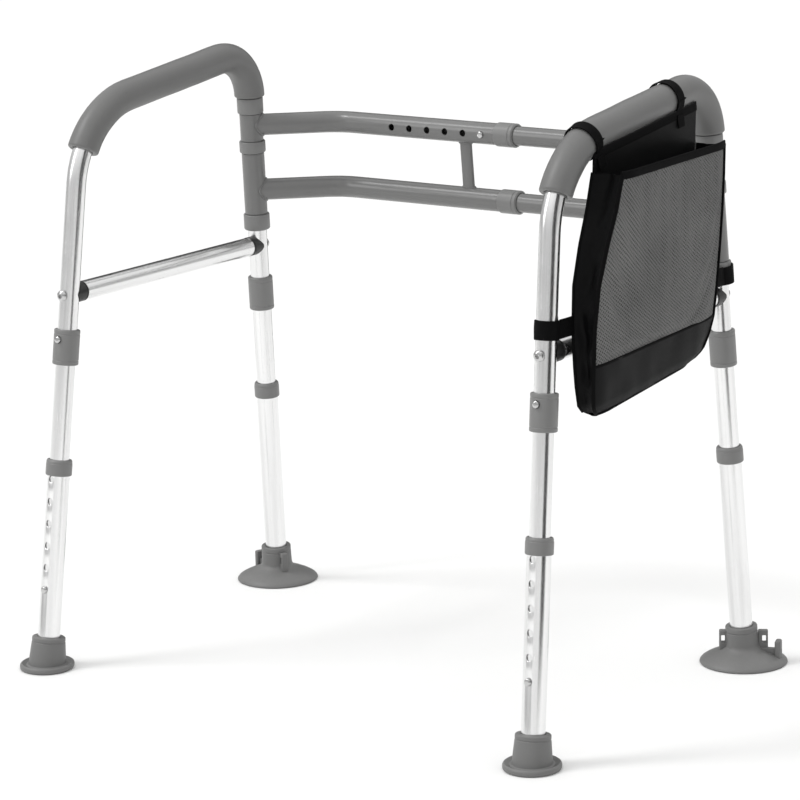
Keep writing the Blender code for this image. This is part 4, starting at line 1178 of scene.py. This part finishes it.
# side bag: nylon back and gussets, a net front panel, all hanging outside the right arm
bag = {"back": 0.0136, "cloth": 0.0009, "belowArm": 0.0106, "lean": 0.0018, "leanShare": 0.88,
       "frontCorner": -0.0905, "rearCorner": 0.1130, "bottom": 0.3505, "under": 0.3508,
       "bandLow": 0.3530, "bandHigh": 0.4080, "underShare": 0.32}
gusset = {"tuck": {"front": 0.0072, "rear": 0.0045}, "seed": {"front": 5.0, "rear": 9.0},
          "crease": 0.0052, "clear": 0.0052}
net = {"low": 0.4060, "high": 0.5985, "inset": 0.004, "sunk": 0.0006, "swell": 0.0012,
       "frames": 16, "shrink": -0.012, "heldEdge": 0.007, "thickness": 0.0006}
tape = {"steps": 60, "low": 0.3540, "seam": 0.4070, "high": 0.5990, "inset": 0.0008}
bagRows = [    # height at the front edge, climb to the rear, front edge, rear edge, outer face
    (0.3510, 0.0190, -0.1120, 0.0480, 0.0270), (0.3560, 0.0200, -0.1250, 0.0700, 0.0320),
    (0.3640, 0.0200, -0.1330, 0.0860, 0.0352), (0.3850, 0.0150, -0.1365, 0.0950, 0.0380),
    (0.4060, 0.0120, -0.1380, 0.1010, 0.0405), (0.4450, 0.0080, -0.1385, 0.1050, 0.0436),
    (0.4900, 0.0070, -0.1340, 0.1075, 0.0475), (0.5300, 0.0060, -0.1200, 0.1095, 0.0505),
    (0.5650, 0.0050, -0.1040, 0.1110, 0.0525), (0.6000, 0.0040, -0.0915, 0.1125, 0.0536)]


def bagEdge(height):    # front edge, rear edge, outer face and climb at a height
    rows = bagRows
    if height <= rows[0][0]:
        return rows[0][2:] + (rows[0][1],)
    for a, b in zip(rows, rows[1:]):
        if height <= b[0]:
            share = (height - a[0]) / (b[0] - a[0])
            return tuple(between(x, y, share) for x, y in zip(a[2:] + (a[1],), b[2:] + (b[1],)))
    return rows[-1][2:] + (rows[-1][1],)


def clothGrid(name, columns, rows, placeOf, flatSize):    # a grid whose points are placed by their share
    deselectAll()
    bpy.ops.mesh.primitive_grid_add(x_subdivisions=columns, y_subdivisions=rows, size=1)
    piece = bpy.context.object
    piece.name = name
    piece.data.name = name
    attribute = piece.data.attributes.new("straight", "FLOAT_VECTOR", "POINT")
    for vertex, item in zip(piece.data.vertices, attribute.data):
        u, v = vertex.co.x + 0.5, vertex.co.y + 0.5
        item.vector = (u * flatSize[0], v * flatSize[1], 0)
        vertex.co = placeOf(u, v)
    return piece


def thicken(piece, thickness, offset=0.0):
    applyModifier(piece, "SOLIDIFY", thickness=thickness, offset=offset)
    smooth(piece, 50)


def faceOut(piece, centre):    # turns a sheet's faces away from a point
    total = sum((face.normal.dot(face.center - centre) * face.area) for face in piece.data.polygons)
    if total < 0:
        piece.data.flip_normals()


def armHeight(y):    # the arm's axis above a place along it
    return armFrontCorner.z + (y - armFrontCorner.y) * math.tan(math.radians(arm["riseDeg"]))


def panelPoint(y, height, bulge=0.0):    # on the bag's outer face
    front, rear, far, climb = bagEdge(height)
    share = (y - front) / (rear - front)
    fromEdge = min(1.0, max(0.0, min(share, 1 - share) * 9))
    depth = far - 0.004 * (1 - fromEdge) ** 2
    return Vector((depth + bulge, y, height + climb * share))


def folds(y, z, seed, scale=34.0):    # gentle creases
    return noise.noise(Vector((y * scale + seed, z * scale * 0.55, seed * 3.1)))


def settle(piece, pinned, frames, shrink):    # a short cloth simulation, then applied
    group = piece.vertex_groups.new(name="held")
    group.add([vertex.index for vertex in piece.data.vertices if pinned(vertex.co)], 1.0, "REPLACE")
    modifier = piece.modifiers.new("cloth", "CLOTH")
    settings = modifier.settings
    settings.quality = 6
    settings.mass = 0.25
    settings.vertex_group_mass = "held"
    settings.tension_stiffness = settings.compression_stiffness = 12
    settings.shear_stiffness = 6
    settings.bending_stiffness = 0.25
    settings.shrink_min = shrink
    settings.effector_weights.gravity = 1.0
    modifier.collision_settings.use_collision = False
    scene = bpy.context.scene
    modifier.point_cache.frame_start, modifier.point_cache.frame_end = 1, frames
    for number in range(1, frames + 1):
        scene.frame_set(number)
    activate(piece)
    bpy.ops.object.modifier_apply(modifier=modifier.name)
    scene.frame_set(1)


def keepCloth(piece, finish, nodes=()):
    placed(piece, sidePlace["right"])
    keep(piece, "side_frame_right", "black_fabric", finish, *nodes)


def makeBackPanel():
    def place(u, v):
        top = armHeight(between(bag["frontCorner"], bag["rearCorner"], u)) - bag["belowArm"]
        front, rear, _, climb = bagEdge(between(bag["bottom"], top, v))
        y = between(front, rear, u)
        z = between(bag["bottom"] + climb * u, armHeight(y) - bag["belowArm"], v)
        lean = bag["lean"] * max(0.0, v - bag["leanShare"]) / (1 - bag["leanShare"])    # out along the foam
        reach = bag["back"] + 0.0004 + 0.0011 * folds(y, z, 2.0, 22.0) * (1 - lean / bag["lean"])
        return Vector((max(reach, bag["back"] - 0.0002) + lean, y, z))

    piece = clothGrid("bagBackPanel", 48, 60, place, (0.21, 0.28))
    thicken(piece, bag["cloth"])
    keepCloth(piece, "nylon", ["bag"])


def makeGusset(name, end):    # the soft wall between the back panel and the outer face
    def place(u, v):
        height = between(bagRows[1][0], net["high"], v)
        front, rear, far, climb = bagEdge(height)
        middle = math.sin(math.pi * u)
        tuck = middle * gusset["tuck"][end] * (0.35 + 0.65 * v)
        crease = gusset["crease"] * folds(u * 0.05, height * 1.4, gusset["seed"][end], 52.0) * middle
        y = (front if end == "front" else rear) - facing[end] * (tuck + crease + 0.0006)
        depth = bag["back"] + 0.0012 + (far - gusset["clear"] - bag["back"]) * u
        return Vector((depth, y, height + (0 if end == "front" else climb)))

    piece = clothGrid(name, 14, 60, place, (0.04, 0.25))
    faceOut(piece, Vector((0.03, 0, 0.48)))
    thicken(piece, bag["cloth"])
    keepCloth(piece, "nylon")


def makeBagBottom():    # the lower band of the outer face, turning under to the back panel
    def place(u, v):
        under = bag["underShare"]
        if v < under:    # underneath, from the back panel out to the lower edge
            turn = v / under
            front, rear, far, climb = bagEdge(bagRows[0][0])
            grown = math.sin(turn * math.pi / 2)
            y = between(front - 0.004 * grown, rear + 0.006 * grown, u)
            depth = bag["back"] + 0.001 + (far - 0.003 - bag["back"]) * turn
            rise = 0.0012 * (1 - math.cos(turn * math.pi / 2)) + 0.0006 * folds(y, depth, 1.0, 30)
            return Vector((depth, y, bag["under"] + climb * u + rise))
        height = between(bag["bandLow"], bag["bandHigh"], (v - under) / (1 - under))
        front, rear, _, _ = bagEdge(height)
        y = between(front, rear, u)
        return panelPoint(y, height, 0.0020 * folds(y, height, 8.0, 34.0))

    piece = clothGrid("bagBottomBand", 60, 36, place, (0.23, 0.08))
    faceOut(piece, Vector((0.025, -0.02, 0.40)))
    thicken(piece, bag["cloth"])
    keepCloth(piece, "nylon")


def makeNetPanel():
    low, high, heldEdge = net["low"], net["high"], net["heldEdge"]

    def place(u, v):
        height = between(low, high, v)
        front, rear, _, _ = bagEdge(height)
        y = between(front + net["inset"], rear - net["inset"], u)
        swell = 16 * u * (1 - u) * v * (1 - v)
        return panelPoint(y, height, net["swell"] * swell - net["sunk"])

    piece = clothGrid("bagNetPanel", 56, 60, place, (0.235, 0.195))
    faceOut(piece, Vector((0.02, 0, 0.48)))
    sideEdges = [bagEdge(between(low, high, k / 40)) for k in range(41)]

    def pinned(point):
        index = max(0, min(40, round((point.z - low) / (high - low) * 40)))
        front, rear, _, climb = sideEdges[index]
        atSide = point.y < front + heldEdge or point.y > rear - heldEdge
        return atSide or point.z < low + 0.002 + climb or point.z > high - 0.001

    settle(piece, pinned, net["frames"], net["shrink"])
    applyModifier(piece, "SUBSURF", levels=1, render_levels=1)
    thicken(piece, net["thickness"])
    keepCloth(piece, "net")


def joinDoubles():
    bpy.ops.object.mode_set(mode="EDIT")
    bpy.ops.mesh.select_all(action="SELECT")
    bpy.ops.mesh.remove_doubles(threshold=0.00005)


def bindingStrip(name, points, out, width, thickness):    # a folded tape along an edge
    columns = len(points) - 1
    out = out.normalized()

    def rounded(value):
        return math.copysign(abs(value) ** 0.5, value)

    def place(u, v):
        index = min(columns, round(u * columns))
        along = (points[min(index + 1, columns)] - points[max(index - 1, 0)]).normalized()
        across = along.cross(out).normalized()
        a = 2 * math.pi * v
        side = across * rounded(math.cos(a)) * width / 2
        return points[index] + side + out * rounded(math.sin(a)) * thickness / 2

    piece = clothGrid(name, columns, 16, place, (0.3, width))
    activate(piece)
    joinDoubles()
    capEnds()
    leaveEdit(piece, 50)
    placed(piece, sidePlace["right"])
    keep(piece, "side_frame_right", "black_fabric", "webbing")


def tapePoints(low, high, pointOf):
    return [pointOf(between(low, high, k / tape["steps"])) for k in range(tape["steps"] + 1)]


def acrossFace(edgeHeight, height, inset=0.0):    # points along the outer face from front to rear
    front, rear, _, _ = bagEdge(edgeHeight)
    return tapePoints(front + inset, rear - inset, lambda y: panelPoint(y, height))


def upSide(end):    # points up an outer corner
    def pointOf(height):
        front, rear, far, climb = bagEdge(height)
        y = front + tape["inset"] if end == "front" else rear - tape["inset"]
        return Vector((far - 0.0035, y, height + (0 if end == "front" else climb)))

    return tapePoints(tape["low"], tape["high"], pointOf)


def makeBindings():
    backFront = tapePoints(bagRows[1][0], bagRows[-1][0], lambda height: Vector(
        (bag["back"] + 0.0002, bagEdge(height)[0] + 0.0004, height)))
    backTop = tapePoints(bag["frontCorner"], bag["rearCorner"] - 0.0005, lambda y: Vector(
        (bag["back"] + 0.0016, y, armHeight(y) - bag["belowArm"] - 0.0052)))
    bindingStrip("bagFrontPiping", upSide("front"), Vector((0.7, -0.7, 0)), 0.0042, 0.0024)
    bindingStrip("bagRearPiping", upSide("rear"), Vector((0.7, 0.7, 0)), 0.0042, 0.0024)
    bindingStrip("bagTopBinding", acrossFace(tape["high"], net["high"]), xAxis, 0.0085, 0.0026)
    bindingStrip("bagBandSeam", acrossFace(tape["seam"], tape["seam"]), xAxis, 0.0030, 0.0022)
    lower = acrossFace(tape["low"], tape["low"], tape["inset"])
    bindingStrip("bagLowerPiping", lower, Vector((0.8, 0, -0.6)), 0.0034, 0.0028)
    bindingStrip("bagBackBinding", backFront, Vector((0.3, -1, 0)), 0.0030, 0.0030)
    bindingStrip("bagBackTopBinding", backTop, xAxis, 0.0100, 0.0024)


def makeBag():
    makeBackPanel()
    makeGusset("bagFrontGusset", "front")
    makeGusset("bagRearGusset", "rear")
    makeBagBottom()
    makeNetPanel()
    makeBindings()


makeBag()
print("bag done")

# straps: two loops over the grip and one band around each leg
strap = {"width": 0.020, "thickness": 0.0016, "clearance": 0.0026}
loop = {"width": 0.013, "slack": 0.0010, "back": 0.024, "ahead": 0.139, "tailTop": 0.0160, "tail": 0.014}


def bandPiece(name, points, outs, across, width, thickness, closed=False):    # a flat strap
    count = len(points)

    def place(u, v):
        index = round(u * (count - 1))
        ripple = 0.00018 * math.sin(u * 40) * math.cos(v * 5)
        return points[index] + across * (v - 0.5) * width + outs[index] * ripple

    length = sum((b - a).length for a, b in zip(points, points[1:]))
    piece = clothGrid(name, count - 1, 8, place, (length, width))
    if closed:
        activate(piece)
        joinDoubles()
        bpy.ops.object.mode_set(mode="OBJECT")
    thicken(piece, thickness)
    softenEdges(piece, thickness * 0.3)
    placed(piece, sidePlace["right"])
    return keep(piece, "side_frame_right", "black_fabric", "webbing")


def bandRound(name, centre, along, inner, width, node):    # a closed loop of strap around a tube
    across = along.cross(xAxis).normalized()
    middle, count = inner + strap["thickness"] / 2, 72
    outs = [xAxis * math.cos(2 * math.pi * k / count) + across * math.sin(2 * math.pi * k / count)
            for k in range(count + 1)]
    points = [centre + out * middle for out in outs]
    piece = bandPiece(name, points, outs, along, width, strap["thickness"] * 0.75, True)
    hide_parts(node)


def makeGripLoops():
    start, direction = advance(armStart, armUp, armMoves[0], xAxis)
    bendRun = moveLength(armMoves[1])
    frontPlace = advance(start, direction, shareOf(armMoves[1], 1 - loop["back"] / bendRun), xAxis)
    bendEnd, along = advance(start, direction, armMoves[1], xAxis)
    inner = grip["diameter"] / 2 + loop["slack"]
    rearPlace = (bendEnd + along * loop["ahead"], along)
    for name, (centre, heading) in (("front", frontPlace), ("rear", rearPlace)):
        bandRound(f"gripLoop_{name}", centre, heading, inner - 0.0004, loop["width"], f"grip_loop_{name}")
        down = heading.cross(xAxis).normalized()    # the strap's end hangs on to the back panel
        place = centre + xAxis * (bag["back"] + bag["cloth"] + 0.0020)
        points = [place + down * (loop["tailTop"] + loop["tail"] * k / 24) for k in range(25)]
        bandPiece(f"gripLoopTail_{name}", points, [xAxis] * 25, heading, loop["width"], 0.0012)


def makeLegStraps():
    height = bolt["height"] + saddle["diameter"] / 2 + strap["clearance"] + strap["width"] / 2
    seats = {"front": armRadius, "rear": post["ringDiameter"] / 2}
    for end in endNames:
        centre = legPoint(end, height)
        along = (legPoint(end, 0.6) - centre).normalized()
        inner = seats[end] + 2 * gap
        bandRound(f"legStrap_{end}", centre, along, inner, strap["width"], f"leg_strap_{end}")
        inward = -yAxis * facing[end]
        reach = inner + strap["thickness"] * 0.6
        edge = bagEdge(height)[0 if end == "front" else 1]
        target = Vector((bag["back"] + 0.0014, edge - facing[end] * 0.010, height + 0.002))
        angle = math.radians(38)    # leaves the band on its outer side, then runs to the back panel
        leave = centre + xAxis * math.cos(angle) * reach + inward * math.sin(angle) * reach
        points = [between(leave, target, k / 30) for k in range(31)]
        for k, point in enumerate(points):
            point.x += 0.0016 * math.sin(math.pi * k / 30)
        bandPiece(f"legStrapEnd_{end}", points, [xAxis] * 31, along, strap["width"], strap["thickness"])


makeGripLoops()
makeLegStraps()
print("straps done")
